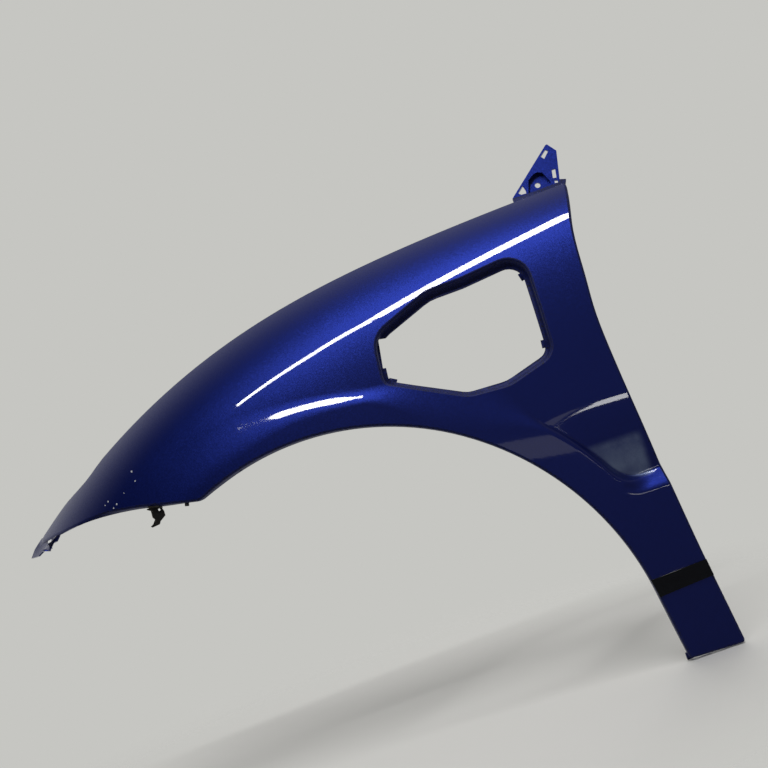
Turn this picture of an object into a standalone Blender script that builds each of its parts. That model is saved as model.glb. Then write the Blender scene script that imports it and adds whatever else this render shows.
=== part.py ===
"""Left front fender of a small car, moulded in thermoplastic, with its trim strip, bumper bracket and clip.

Metres, in the car's own directions: +X to the rear, +Y towards the middle of the car, +Z up.
The outline is drawn from the wheel centre. The finished pieces are then moved so that the origin
is the flat back of the upper rear mount, where the fender is bolted to the body.
"""
import math

import bmesh
import bpy
import numpy as np
from mathutils import Matrix, Vector
from mathutils.geometry import delaunay_2d_cdt

# Wall and bends of the moulding
WALL = 0.0024
EDGE_RADIUS = 0.0033
SEAT_GAP = 0.0003

# Wheel arch edge, from its crown: two arcs that meet smoothly, then a straight stretch down to the foot
ARCH_CROWN = (0.007, 0.401)
ARCH_FRONT_RADIUS = 0.375
ARCH_REAR_RADIUS = 0.4095
ARCH_JOIN_ANGLE = math.radians(57.3)
ARCH_STRAIGHT_ANGLE = math.radians(8.0)
ARCH_FRONT_END_X = -0.148
ARCH_FOOT_HEIGHT = -0.0440
DOOR_FOOT_HEIGHT = -0.0465

# Bonnet edge: one Bezier curve, given by its ends, their angles and their pull, a share of the span
HOOD_FRONT = (-0.4245, 0.3717)
HOOD_FRONT_ANGLE = math.radians(35.9)
HOOD_FRONT_PULL = 0.39868
HOOD_REAR = (0.4765, 0.6237)
HOOD_REAR_ANGLE = math.radians(1.9)
HOOD_REAR_PULL = 0.42434
TIP_X = -0.412

# Door edge from the top corner down, and bumper edge from the arch forward
DOOR_EDGE = [(0.4545, 0.552), (0.4463, 0.484), (0.4420, 0.425), (0.4456, 0.342),
             (0.4521, 0.263), (0.4606, 0.165), (0.4700, 0.074)]
DOOR_FOOT_X = 0.4850
BUMPER_EDGE = [(-0.194, 0.3775), (-0.247, 0.3875), (-0.295, 0.3905), (-0.335, 0.3900), (-0.370, 0.3862)]
CORNER_TRIM = {"top": 0.007, "door_foot": 0.0055, "arch_foot": 0.0055, "arch_front": 0.0045, "tip": 0.012}

# Cross-section of the body side
SHOULDER_DEPTH = 0.074
SHOULDER_FADE = 0.052
BELT_HEIGHT = 0.130
BARREL_RADIUS_ABOVE = 2.5
BARREL_RADIUS_BELOW = 4.0
NOSE_START_X = 0.100
NOSE_RADIUS = 1.45
TIP_TAPER_X = -0.150
TIP_TAPER = 0.9

# Raised band round the wheel arch, and the hollow behind it under a crease in the side
BAND_WIDTH_TOP = 0.042
BAND_WIDTH_REAR = 0.052
BAND_TURN_ANGLE = math.radians(65)
BAND_TURN_RANGE = math.radians(30)
LEDGE_HEIGHT = 0.007
LEDGE_WIDTH_DOOR = 0.030
LEDGE_WIDTH_REAR = 0.010
LEDGE_WIDTH_MIDDLE = 0.070
LEDGE_WIDTH_TOP = 0.0225
LEDGE_WIDTH_FRONT = 0.060
LEDGE_TIGHTENS = (math.radians(22), math.radians(28))
LEDGE_SOFTENS = (math.radians(43), math.radians(57))
LEDGE_FIRMS = (math.radians(62), math.radians(76))
LEDGE_WIDENS = (math.radians(76), math.radians(95))
LEG_TOP = 0.200
LEG_BLEND = 0.030
CREASE_HEIGHT = 0.320
HOLLOW_DEPTH = 0.011
HOLLOW_DROP = 0.110
HOLLOW_START_X = 0.280
HOLLOW_RUN = 0.110
HOLLOW_SOFTNESS = 0.006

# Vent opening: corners of its outline with their radii
VENT_CORNERS = [((0.140, 0.437), 0.014), ((0.1465, 0.502), 0.035), ((0.235, 0.537), 0.060),
                ((0.285, 0.538), 0.080), ((0.3775, 0.5475), 0.030), ((0.3705, 0.400), 0.025),
                ((0.300, 0.380), 0.050), ((0.243, 0.384), 0.040)]
VENT_WALL_DEPTH = 0.014
VENT_WALL_DRAFT = math.radians(8)
VENT_LIP = 0.0055
VENT_NOTCH_LIP = 0.0025
VENT_NOTCH = ((0.135, 0.450), (0.166, 0.492))
VENT_TABS = [(0.374, 0.520), (0.3705, 0.418), (0.148, 0.4335)]
VENT_TAB_LENGTH = 0.011
VENT_TAB_REACH = 0.0045
VENT_TAB_WALL = 0.0019

# Return flanges, by edge: depth of the wall, then length of what follows it
FLANGES = {"hood": (0.011, 0.022), "door": (0.005, 0.006), "foot": (0.007, 0.011),
           "arch": (0.008, 0.010), "bumper": (0.006, 0.008)}
FLAT_EDGE_ANGLE = math.radians(15)
FLAT_EDGE_REACH = 0.0015
FLAT_EDGE_SHARE = 0.12
TIP_FLAT_LENGTH = 0.045
TIP_FADE_LENGTH = 0.110
CORNER_FADE_LENGTH = 0.020
CORNER_FLANGE_SHARE = 0.35

# Bolt bosses on the bonnet flange, clip holes in the arch flange and the slot in the foot
BOSS_X = [-0.060, 0.140, 0.330]
BOSS_RADIUS = 0.009
BOSS_HEIGHT = 0.009
BOLT_HOLE_RADIUS = 0.0035
ARCH_HOLE_ANGLES = [math.radians(a) for a in (104, 80, 54, 24)]
ARCH_HOLE_RADIUS = 0.003
FOOT_SLOT_LENGTH = 0.012
FOOT_NIB = (0.008, 0.006, 0.009)
FOOT_NIB_CENTRE = (0.0008, 0, 0.0027)

# Upper rear bracket: a leaning plate, its outlines drawn upright in side view
BRACKET_LEAN = math.radians(20)
BRACKET_FOOT_DEPTH = 0.0145
BRACKET_OUTLINE = [(0.4005, 0.604), (0.4005, 0.6270), (0.4730, 0.6865), (0.4755, 0.6868),
                   (0.4848, 0.6733), (0.4735, 0.6315), (0.4822, 0.6287), (0.4700, 0.604)]
BRACKET_WALL = 0.0025
BRACKET_RIM = 0.006
POCKET_OUTLINE = [(0.4313, 0.6448), (0.4400, 0.6505), (0.4468, 0.6522), (0.4540, 0.6490),
                  (0.4600, 0.6335), (0.4595, 0.6295), (0.4244, 0.6265)]
POCKET_DEPTH = 0.0075
POCKET_HOLE = (0.4421, 0.6367)
POCKET_HOLE_RADIUS = 0.004
BRACKET_CUTS = [[(0.4603, 0.6725), (0.4705, 0.6800), (0.4735, 0.6765), (0.4640, 0.6674)],
                [(0.4680, 0.6484), (0.4732, 0.6483), (0.4702, 0.6351), (0.4652, 0.6361)],
                [(0.4662, 0.6323), (0.4705, 0.6308), (0.4695, 0.6275), (0.4650, 0.6282)],
                [(0.4205, 0.6400), (0.4222, 0.6317), (0.4215, 0.6275), (0.4140, 0.6280), (0.4108, 0.6315)]]
MOUNT_BESIDE_HOLE = -0.008

# Seat for the headlamp and bumper at the front tip
SEAT_OUTLINE = [(-0.368, 0.3900), (-0.3735, 0.3825), (-0.3790, 0.3770), (-0.3895, 0.3735),
                (-0.3905, 0.3695), (-0.3950, 0.3668), (-0.4000, 0.3683), (-0.4080, 0.3690),
                (-0.4190, 0.3640), (-0.4372, 0.3628), (-0.4265, 0.3738), (-0.4095, 0.3860)]
SEAT_SLOT = [(-0.3966, 0.3797), (-0.3871, 0.3807), (-0.3881, 0.3769), (-0.3974, 0.3757)]
SEAT_INSET = 0.0021
SEAT_WALL = 0.0023

# Trim strip across the leg
STRIP_TOP = (0.0735, 0.0765)
STRIP_BOTTOM = (0.0480, 0.0530)
STRIP_THICKNESS = 0.0012

# Bumper bracket and liner clip under the bumper edge
BUMPER_BRACKET_X = -0.2145
BRACKET_LEAF = (0.018, 0.010, 0.002)
BRACKET_LEG = [(-0.0114, 0.0024), (-0.0119, 0.0012), (-0.0070, -0.0019), (-0.0077, -0.0114),
               (-0.0054, -0.0148), (-0.0098, -0.0202), (-0.0141, -0.0224), (-0.0121, -0.0243),
               (-0.0012, -0.0232), (0.0010, -0.0196), (0.0099, -0.0140), (0.0102, -0.0079), (0.0080, -0.0006)]
BRACKET_LEG_SETBACK = 0.003
BRACKET_LEG_WALL = 0.002
BRACKET_LEG_HOLE = (0.0045, -0.0040)
BRACKET_LEG_HOLE_RADIUS = 0.0017
PEG_RADIUS = 0.0022
PEG_CLEARANCE = 0.0004
CLIP_X = -0.168
CLIP_HEAD_RADIUS = 0.003
CLIP_HEAD_HEIGHT = 0.0045
PEG_LENGTH = 0.006

# Fineness of the surface
EDGE_STEP = 0.0135
GRID_STEP = 0.019
GRID_ROOM = 0.6
ROW_STEP = 0.011
ROW_ROOM = 0.006
ROW_ANGLES = (math.radians(122), math.radians(22))
BEND_STEPS = 3
ROUND_SIDES = 20
SMALL_SIDES = 12
CURVE_STEPS = 12
STRIP_COLUMNS = 12
STRIP_ROWS = 4


def smoothstep(t):
    t = np.clip(t, 0.0, 1.0)
    return t * t * (3.0 - 2.0 * t)


def direction(angle):
    return np.array((math.cos(angle), math.sin(angle)))


def hood_handles():
    front = np.array(HOOD_FRONT)
    rear = np.array(HOOD_REAR)
    span = np.linalg.norm(rear - front)
    return (front, front + HOOD_FRONT_PULL * span * direction(HOOD_FRONT_ANGLE),
            rear - HOOD_REAR_PULL * span * direction(HOOD_REAR_ANGLE), rear)


def bezier(points, t):
    """Points on a cubic Bezier curve."""
    a, b, c, d = points
    t = np.asarray(t, float)[..., None]
    return (1 - t) ** 3 * a + 3 * t * (1 - t) ** 2 * b + 3 * t * t * (1 - t) * c + t ** 3 * d


def hood_share(x):
    """Where on the bonnet edge's curve it has the given x, by Newton steps."""
    points = [p[0] for p in hood_handles()]
    a, b, c, d = points
    x = np.asarray(x, float)
    t = (x - a) / (d - a)
    for _ in range(8):
        here = (1 - t) ** 3 * a + 3 * t * (1 - t) ** 2 * b + 3 * t * t * (1 - t) * c + t ** 3 * d
        slope = 3 * ((1 - t) ** 2 * (b - a) + 2 * t * (1 - t) * (c - b) + t * t * (d - c))
        t = t - (here - x) / slope
    return t


def hood_height(x):
    """Height of the bonnet edge at x."""
    return bezier(hood_handles(), hood_share(x))[..., 1]


def arch_centres():
    """Centres of the front and rear arcs; the arcs share a tangent where they join."""
    front = np.array(ARCH_CROWN) - (0, ARCH_FRONT_RADIUS)
    rear = front + (ARCH_FRONT_RADIUS - ARCH_REAR_RADIUS) * direction(ARCH_JOIN_ANGLE)
    return front, rear


def arch_distance(x, z):
    """How far a point lies outside the wheel arch edge, in side view."""
    front, rear = arch_centres()
    ahead = np.hypot(x - front[0], z - front[1]) - ARCH_FRONT_RADIUS
    behind = np.hypot(x - rear[0], z - rear[1]) - ARCH_REAR_RADIUS
    distance = np.where(np.arctan2(z - front[1], x - front[0]) > ARCH_JOIN_ANGLE, ahead, behind)
    out = direction(ARCH_STRAIGHT_ANGLE)
    straight = (x - rear[0]) * out[0] + (z - rear[1]) * out[1] - ARCH_REAR_RADIUS
    low = np.arctan2(z - rear[1], x - rear[0]) < ARCH_STRAIGHT_ANGLE
    return np.where(low, straight, distance)


def band_distance(x, z):
    """How far a point lies outside the middle of the ledge that bounds the raised band and the leg."""
    turn = smoothstep((BAND_TURN_ANGLE - np.arctan2(z, x)) / BAND_TURN_RANGE)
    width = BAND_WIDTH_TOP + (BAND_WIDTH_REAR - BAND_WIDTH_TOP) * turn
    round_arch = arch_distance(x, z) - width
    above_leg = z - LEG_TOP
    share = np.clip(0.5 + 0.5 * (above_leg - round_arch) / LEG_BLEND, 0, 1)
    return above_leg * (1 - share) + round_arch * share - LEG_BLEND * share * (1 - share)


def part_way(angle, span):
    """How far an angle has come through a span of angles, from 0 to 1."""
    return np.clip((angle - span[0]) / (span[1] - span[0]), 0, 1)


def ledge_width(x, z):
    """Width of the ledge: narrow behind the vent, very soft below it, firm over the arch, then wider."""
    angle = np.arctan2(z, x)
    tightened = smoothstep(part_way(angle, LEDGE_TIGHTENS))
    softened = smoothstep(part_way(angle, LEDGE_SOFTENS))
    firmed = smoothstep(part_way(angle, LEDGE_FIRMS))
    width = LEDGE_WIDTH_DOOR + (LEDGE_WIDTH_REAR - LEDGE_WIDTH_DOOR) * tightened
    width = width + (LEDGE_WIDTH_MIDDLE - LEDGE_WIDTH_REAR) * softened
    width = width + (LEDGE_WIDTH_TOP - LEDGE_WIDTH_MIDDLE) * firmed
    return width + (LEDGE_WIDTH_FRONT - LEDGE_WIDTH_TOP) * part_way(angle, LEDGE_WIDENS)


def ledge_share(x, z):
    """How far the ledge has stepped inwards: an even step, but behind the vent one that ends in a crease."""
    t = np.clip(0.5 + band_distance(x, z) / ledge_width(x, z), 0, 1)
    even = smoothstep(t)
    return t * t + (even - t * t) * smoothstep(part_way(np.arctan2(z, x), LEDGE_SOFTENS))


def skin_depth(x, z):
    """Y of the painted face at a point in side view."""
    x = np.asarray(x, float)
    z = np.asarray(z, float)
    below_hood = np.maximum(hood_height(x) - z, -0.01)
    depth = SHOULDER_DEPTH * np.exp(-below_hood / SHOULDER_FADE)
    rise = z - BELT_HEIGHT
    depth = depth + rise ** 2 / (2 * np.where(rise > 0, BARREL_RADIUS_ABOVE, BARREL_RADIUS_BELOW))
    depth = depth + np.maximum(NOSE_START_X - x, 0) ** 2 / (2 * NOSE_RADIUS)
    depth = depth + np.maximum(TIP_TAPER_X - x, 0) ** 3 / TIP_TAPER
    fall = (CREASE_HEIGHT - z) / HOLLOW_DROP
    fall = np.clip(0.5 * (fall + np.sqrt(fall * fall + HOLLOW_SOFTNESS)), 0, 1)
    hollow = fall * (1 + fall) / 2 * smoothstep((x - HOLLOW_START_X) / HOLLOW_RUN)
    return depth + ledge_share(x, z) * (LEDGE_HEIGHT + HOLLOW_DEPTH * hollow)


def skin_normal(x, z):
    """Unit normals of the painted face, pointing out of the car."""
    step = 0.0001
    slope_x = (skin_depth(x + step, z) - skin_depth(x - step, z)) / (2 * step)
    slope_z = (skin_depth(x, z + step) - skin_depth(x, z - step)) / (2 * step)
    normal = np.stack([slope_x, -np.ones_like(slope_x), slope_z], axis=-1)
    return normal / np.linalg.norm(normal, axis=-1, keepdims=True)


def on_skin(x, z):
    return np.stack([x, skin_depth(x, z), z], axis=-1)


def smooth_curve(points):
    """A Catmull-Rom curve through the points."""
    points = np.array(points, float)
    padded = np.vstack([2 * points[0] - points[1], points, 2 * points[-1] - points[-2]])
    curve = []
    for a, b, c, d in zip(padded, padded[1:], padded[2:], padded[3:]):
        for t in np.arange(CURVE_STEPS) / CURVE_STEPS:
            curve.append(b + 0.5 * t * (c - a + t * (2 * a - 5 * b + 4 * c - d + t * (3 * (b - c) + d - a))))
    curve.append(points[-1])
    return np.array(curve)


def arc(centre, radius, start, end, steps=60):
    return np.array([np.array(centre) + radius * direction(a) for a in np.linspace(start, end, steps + 1)])


def path_run(path):
    return np.concatenate([[0], np.cumsum(np.linalg.norm(np.diff(path, axis=0), axis=1))])


def cut_path(path, start, end, step):
    """The path without its first and last stretches, with points a nearly equal step apart."""
    run = path_run(path)
    length = run[-1] - start - end
    marks = np.linspace(start, run[-1] - end, max(1, round(length / step)) + 1)
    return np.column_stack([np.interp(marks, run, path[:, k]) for k in range(2)])


def skin_edges():
    """The five edges in turn, clockwise as seen from outside the car."""
    front, rear = arch_centres()
    hood = bezier(hood_handles(), np.linspace(float(hood_share(TIP_X)), 1, 120))
    straight_top = rear + ARCH_REAR_RADIUS * direction(ARCH_STRAIGHT_ANGLE)
    down = (straight_top[1] - ARCH_FOOT_HEIGHT) / math.cos(ARCH_STRAIGHT_ANGLE)
    arch_foot = straight_top + down * direction(ARCH_STRAIGHT_ANGLE - math.pi / 2)
    door_foot = (DOOR_FOOT_X, DOOR_FOOT_HEIGHT)
    front_end = math.acos((ARCH_FRONT_END_X - front[0]) / ARCH_FRONT_RADIUS)
    arch = np.vstack([[arch_foot], arc(rear, ARCH_REAR_RADIUS, ARCH_STRAIGHT_ANGLE, ARCH_JOIN_ANGLE),
                      arc(front, ARCH_FRONT_RADIUS, ARCH_JOIN_ANGLE, front_end)[1:]])
    return [("hood", hood, "top"),
            ("door", smooth_curve([HOOD_REAR, *DOOR_EDGE, door_foot]), "door_foot"),
            ("foot", np.array([door_foot, arch_foot]), "arch_foot"),
            ("arch", arch, "arch_front"),
            ("bumper", smooth_curve([arch[-1], *BUMPER_EDGE, hood[0]]), "tip")]


def skin_outline():
    """Outline points with rounded corners, the edge of each, and its distance to the nearest corner."""
    edges = skin_edges()
    outline, names, room = [], [], []
    for k, (name, path, corner) in enumerate(edges):
        start = CORNER_TRIM[edges[k - 1][2]]
        end = CORNER_TRIM[corner]
        run = cut_path(path, start, end, EDGE_STEP)
        following = edges[(k + 1) % len(edges)][1]
        turned = cut_path(following, end, 0, EDGE_STEP)[0]
        outline.extend(run)
        names.extend([name] * len(run))
        marks = path_run(run)
        room.extend(np.minimum(marks, marks[-1] - marks))
        for t in (0.25, 0.5, 0.75):
            outline.append((1 - t) ** 2 * run[-1] + 2 * t * (1 - t) * path[-1] + t * t * turned)
            names.append(name if t < 0.5 else edges[(k + 1) % len(edges)][0])
            room.append(0.0)
    return np.array(outline), names, np.array(room)


def rounded_loop(corners, step):
    """A closed outline with an arc at each corner."""
    loop = []
    for k, (corner, radius) in enumerate(corners):
        corner = np.array(corner)
        before = np.array(corners[k - 1][0]) - corner
        after = np.array(corners[(k + 1) % len(corners)][0]) - corner
        before /= np.linalg.norm(before)
        after /= np.linalg.norm(after)
        half = 0.5 * math.acos(np.clip(before @ after, -1, 1))
        reach = radius / math.tan(half)
        middle = before + after
        centre = corner + middle / np.linalg.norm(middle) * radius / math.sin(half)
        start = corner + before * reach - centre
        end = corner + after * reach - centre
        first = math.atan2(start[1], start[0])
        sweep = (math.atan2(end[1], end[0]) - first + math.pi) % (2 * math.pi) - math.pi
        steps = max(2, math.ceil(abs(sweep) * radius / step), math.ceil(abs(sweep) / math.radians(16)))
        loop.extend(arc(centre, radius, first, first + sweep, steps))
    filled = []
    for a, b in zip(loop, loop[1:] + loop[:1]):
        pieces = max(1, round(np.linalg.norm(b - a) / step))
        filled.extend(a + (b - a) * s / pieces for s in range(pieces))
    return np.array(filled)


def edge_directions(loop):
    """For each outline point, the direction along the skin and square to the outline, out of the panel."""
    ahead = np.roll(loop, -1, axis=0) - loop
    behind = loop - np.roll(loop, 1, axis=0)
    along = ahead / np.linalg.norm(ahead, axis=1)[:, None] + behind / np.linalg.norm(behind, axis=1)[:, None]
    points = on_skin(loop[:, 0], loop[:, 1])
    nudged = on_skin(loop[:, 0] + along[:, 0] * 0.0001, loop[:, 1] + along[:, 1] * 0.0001)
    tangent = nudged - points
    normal = skin_normal(loop[:, 0], loop[:, 1])
    out = np.cross(normal, tangent)
    return points, out / np.linalg.norm(out, axis=1)[:, None], normal


def blurred(values, passes):
    """Values averaged with their neighbours round a closed outline."""
    for _ in range(passes):
        values = (np.roll(values, 1, axis=0) + 2 * values + np.roll(values, -1, axis=0)) / 4
    return values


def unit(vectors):
    return vectors / np.linalg.norm(vectors, axis=-1, keepdims=True)


class Return:
    """The bent edge of the panel: a bend of EDGE_RADIUS, a wall, and a second stretch.

    The share says how far the wall is bent, and the turn how far the second stretch leaves it.
    """

    def __init__(self, points, out, wall, second, lengths, share=1.0, turn=1.0):
        angle = np.arccos(np.clip((out * wall).sum(axis=1), -1, 1))
        inward = unit(wall - out * np.cos(angle)[:, None])
        angle = np.maximum(angle * share, FLAT_EDGE_ANGLE)
        wall = out * np.cos(angle)[:, None] + inward * np.sin(angle)[:, None]
        reach = FLAT_EDGE_REACH + (EDGE_RADIUS * np.tan(angle / 2) - FLAT_EDGE_REACH) * share
        radius = reach / np.tan(angle / 2)
        self.start = points - out * reach[:, None]
        self.rings = []
        for k in range(1, BEND_STEPS + 1):
            turned = angle * k / BEND_STEPS
            forward = out * np.sin(turned)[:, None] + inward * (1 - np.cos(turned))[:, None]
            self.rings.append(self.start + radius[:, None] * forward)
        self.corner = points + wall * np.maximum(lengths[:, 0], reach + 0.001)[:, None]
        second = unit(wall + (second - wall) * np.reshape(turn, (-1, 1)))
        self.rings.append(self.corner)
        self.rings.append(self.corner + second * lengths[:, 1:])


def outer_return(loop, names, room):
    """The return of the outer edge; on the bonnet edge its second stretch turns level, inboard."""
    points, out, normal = edge_directions(loop)
    is_hood = np.array([name == "hood" for name in names], float)
    down = np.where(is_hood[:, None] > 0, (0.0, 0.0, -1.0), -normal)
    wall = unit(blurred(unit(down - normal), 3))
    inboard = np.broadcast_to((0.0, 1.0, 0.0), points.shape)
    tip_gap = np.linalg.norm(loop - loop[np.argmin(loop[:, 0])], axis=1)
    share = smoothstep((tip_gap - TIP_FLAT_LENGTH) / TIP_FADE_LENGTH)
    lengths = np.array([FLANGES[name] for name in names])
    lengths = lengths * (FLAT_EDGE_SHARE + (1 - FLAT_EDGE_SHARE) * share ** 2)[:, None]
    lengths[:, 1] *= CORNER_FLANGE_SHARE + (1 - CORNER_FLANGE_SHARE) * smoothstep(room / CORNER_FADE_LENGTH)
    lengths = blurred(lengths, 2)
    overhang = 2 * share * (1 - share) * lengths.sum(axis=1)
    points = points - out * overhang[:, None]
    return Return(points, out, wall, inboard, lengths, share, blurred(is_hood, 3) * share)


def vent_return(loop):
    """The return round the vent: a wall with draft, then a lip into the opening."""
    points, out, normal = edge_directions(loop)
    inward = unit(blurred(-normal, 6))
    wall = unit(inward * math.cos(VENT_WALL_DRAFT) + out * math.sin(VENT_WALL_DRAFT))
    return Return(points, out, wall, out, np.tile((VENT_WALL_DEPTH, VENT_LIP), (len(loop), 1)))


def ledge_rows():
    """Rows of points that follow the ledge of the raised band, found along rays from the wheel centre."""
    count = round((ROW_ANGLES[0] - ROW_ANGLES[1]) * (ARCH_FRONT_RADIUS + BAND_WIDTH_REAR) / ROW_STEP)
    angles = np.linspace(*ROW_ANGLES, count)
    rows = []
    for share in (0, 1 / 3, 2 / 3, 1):
        near = np.full(len(angles), ARCH_FRONT_RADIUS)
        far = near + 3 * BAND_WIDTH_REAR
        for _ in range(30):
            middle = (near + far) / 2
            x, z = middle * np.cos(angles), middle * np.sin(angles)
            low = band_distance(x, z) < (share - 0.5) * ledge_width(x, z)
            near = np.where(low, middle, near)
            far = np.where(low, far, middle)
        rows.append(np.column_stack([near * np.cos(angles), near * np.sin(angles)]))
    return rows


def inside(loop, points):
    """Which points lie inside a closed outline, by the even-odd rule."""
    ends = np.roll(loop, -1, axis=0)
    x, z = points[:, 0][:, None], points[:, 1][:, None]
    spans = (loop[:, 1] > z) != (ends[:, 1] > z)
    rise = np.where(ends[:, 1] == loop[:, 1], 1, ends[:, 1] - loop[:, 1])
    cross = loop[:, 0] + (z - loop[:, 1]) * (ends[:, 0] - loop[:, 0]) / rise
    return ((spans & (x < cross)).sum(axis=1) % 2) == 1


def nearest(points, others):
    """Distance from each point to the nearest of the others."""
    return np.sqrt(((points[:, None, :] - others[None, :, :]) ** 2).sum(axis=2)).min(axis=1)


def closed_edges(first, count):
    return [(first + k, first + (k + 1) % count) for k in range(count)]


def panel_mesh(outer, vent):
    """Triangulate the panel in side view, with rows that follow its edges and the ledge."""
    points = [outer, vent]
    edges = closed_edges(0, len(outer)) + closed_edges(len(outer), len(vent))
    taken = np.vstack(points)
    for row in ledge_rows():
        keep = inside(outer, row) & ~inside(vent, row) & (nearest(row, taken) > ROW_ROOM)
        keep &= ledge_width(row[:, 0], row[:, 1]) < 2 * LEDGE_WIDTH_REAR
        kept = np.flatnonzero(keep)
        first = sum(len(p) for p in points)
        edges += [(first + k, first + k + 1) for k in np.flatnonzero(np.diff(kept) == 1)]
        points.append(row[kept])
    fixed = np.vstack(points)
    low = outer.min(axis=0)
    high = outer.max(axis=0)
    rows = []
    for j, z in enumerate(np.arange(low[1], high[1], GRID_STEP * math.sqrt(0.75))):
        for x in np.arange(low[0] + (j % 2) * GRID_STEP / 2, high[0], GRID_STEP):
            rows.append((x, z))
    grid = np.array(rows)
    grid = grid[inside(outer, grid) & ~inside(vent, grid)]
    grid = grid[nearest(grid, fixed) > GRID_ROOM * GRID_STEP]
    support = np.vstack([offset_row(loop, GRID_STEP / 2) for loop in (outer, vent)])
    support = support[inside(outer, support) & ~inside(vent, support)]
    support = support[nearest(support, fixed) > GRID_STEP / 3]
    grid = grid[nearest(grid, support) > GRID_ROOM * GRID_STEP]
    everything = np.vstack([fixed, support, grid])
    result = delaunay_2d_cdt([Vector(p) for p in everything], edges, [], 0, 1e-7)
    places, faces = np.array([tuple(p) for p in result[0]]), result[2]
    middles = np.array([places[list(face)].mean(axis=0) for face in faces])
    wanted = inside(outer, middles) & ~inside(vent, middles)
    return places, [face for face, keep in zip(faces, wanted) if keep]


def offset_row(loop, distance):
    """The outline moved into the panel by a distance."""
    along = unit(np.roll(loop, -1, axis=0) - np.roll(loop, 1, axis=0))
    return loop + distance * np.column_stack([along[:, 1], -along[:, 0]])


def grow_ring(bm, ring, places):
    """Extrude a closed ring of edges and move the copied vertices to their places."""
    edges = [next(e for e in a.link_edges if e.other_vert(a) is b) for a, b in zip(ring, ring[1:] + ring[:1])]
    grown = bmesh.ops.extrude_edge_only(bm, edges=edges)["geom"]
    fresh = {item for item in grown if isinstance(item, bmesh.types.BMVert)}
    copies = [next(e.other_vert(v) for e in v.link_edges if e.other_vert(v) in fresh) for v in ring]
    for vertex, place in zip(copies, places):
        vertex.co = place
    return copies


def open_skin():
    """The painted face with its returns, as an open sheet."""
    loop, names, room = skin_outline()
    outer = outer_return(loop, names, room)
    vent_loop = rounded_loop(VENT_CORNERS, EDGE_STEP)
    vent = vent_return(vent_loop[::-1])
    outer_plan = outer.start[:, (0, 2)]
    vent_plan = vent.start[:, (0, 2)]
    places, faces = panel_mesh(outer_plan, vent_plan)
    bm = bmesh.new()
    for point in on_skin(places[:, 0], places[:, 1]):
        bm.verts.new(point)
    bm.verts.ensure_lookup_table()
    for face in faces:
        bm.faces.new([bm.verts[k] for k in face])
    bmesh.ops.delete(bm, geom=[v for v in bm.verts if not v.link_faces], context="VERTS")
    for plan, bend in ((outer_plan, outer), (vent_plan, vent)):
        ring = matching_vertices(bm, plan)
        for places in bend.rings:
            ring = grow_ring(bm, ring, places)
    bmesh.ops.recalc_face_normals(bm, faces=bm.faces)
    face_outwards(bm)
    return bm


def face_outwards(bm):
    """Turn an open sheet so that its painted side looks out of the car."""
    if sum(face.normal.y * face.calc_area() for face in bm.faces) > 0:
        bmesh.ops.reverse_faces(bm, faces=bm.faces)


def matching_vertices(bm, plan):
    """The sheet's vertices that lie at the points of an outline."""
    bm.verts.ensure_lookup_table()
    have = np.array([(v.co.x, v.co.z) for v in bm.verts])
    order = [int(np.argmin(((have - point) ** 2).sum(axis=1))) for point in plan]
    return [bm.verts[k] for k in order]


def new_object(name, bm, collection):
    mesh = bpy.data.meshes.new(name)
    bm.to_mesh(mesh)
    bm.free()
    obj = bpy.data.objects.new(name, mesh)
    collection.objects.link(obj)
    return obj


def prism(name, outline, low, high, collection, place=Matrix.Identity(4)):
    """A flat outline in X and Z, extruded in Y from low to high."""
    bm = bmesh.new()
    face = bm.faces.new([bm.verts.new((x, low, z)) for x, z in outline])
    grown = bmesh.ops.extrude_face_region(bm, geom=[face])["geom"]
    lifted = [item for item in grown if isinstance(item, bmesh.types.BMVert)]
    bmesh.ops.translate(bm, verts=lifted, vec=(0, high - low, 0))
    bmesh.ops.recalc_face_normals(bm, faces=bm.faces)
    bm.transform(place)
    return new_object(name, bm, collection)


def frame_at(point, along, up):
    """A placement whose Z axis is up and whose X axis is as near along as it can be."""
    up = Vector(up).normalized()
    side = up.cross(Vector(along)).normalized()
    forward = side.cross(up)
    turn = Matrix((forward, side, up)).transposed().to_4x4()
    return Matrix.Translation(Vector(point)) @ turn


def cylinder(name, radius, low, high, place, collection, sides=ROUND_SIDES):
    """A cylinder along its placement's Z axis, from low to high."""
    bm = bmesh.new()
    middle = Matrix.Translation((0, 0, (low + high) / 2))
    bmesh.ops.create_cone(bm, cap_ends=True, segments=sides, radius1=radius, radius2=radius,
                          depth=high - low, matrix=place @ middle)
    return new_object(name, bm, collection)


def box(name, size, centre, place, collection):
    bm = bmesh.new()
    bmesh.ops.create_cube(bm, size=1, matrix=place @ Matrix.Translation(centre) @ Matrix.Diagonal((*size, 1)))
    return new_object(name, bm, collection)


def as_tool(obj):
    obj.hide_render = True
    obj.display_type = "WIRE"
    return obj


def thicken(sheet, wall):
    """Give an open sheet its wall, on the side away from the painted face."""
    shell = sheet.modifiers.new("wall", "SOLIDIFY")
    shell.thickness = wall
    shell.offset = -1
    shell.use_even_offset = False
    shell.use_quality_normals = True
    return shell


def combine(target, tool, operation):
    """Add or cut a tool with a Boolean modifier."""
    modifier = target.modifiers.new(f"{operation.lower()}_{tool.name}", "BOOLEAN")
    modifier.operation = operation
    modifier.object = as_tool(tool)
    modifier.solver = "EXACT"


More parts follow.
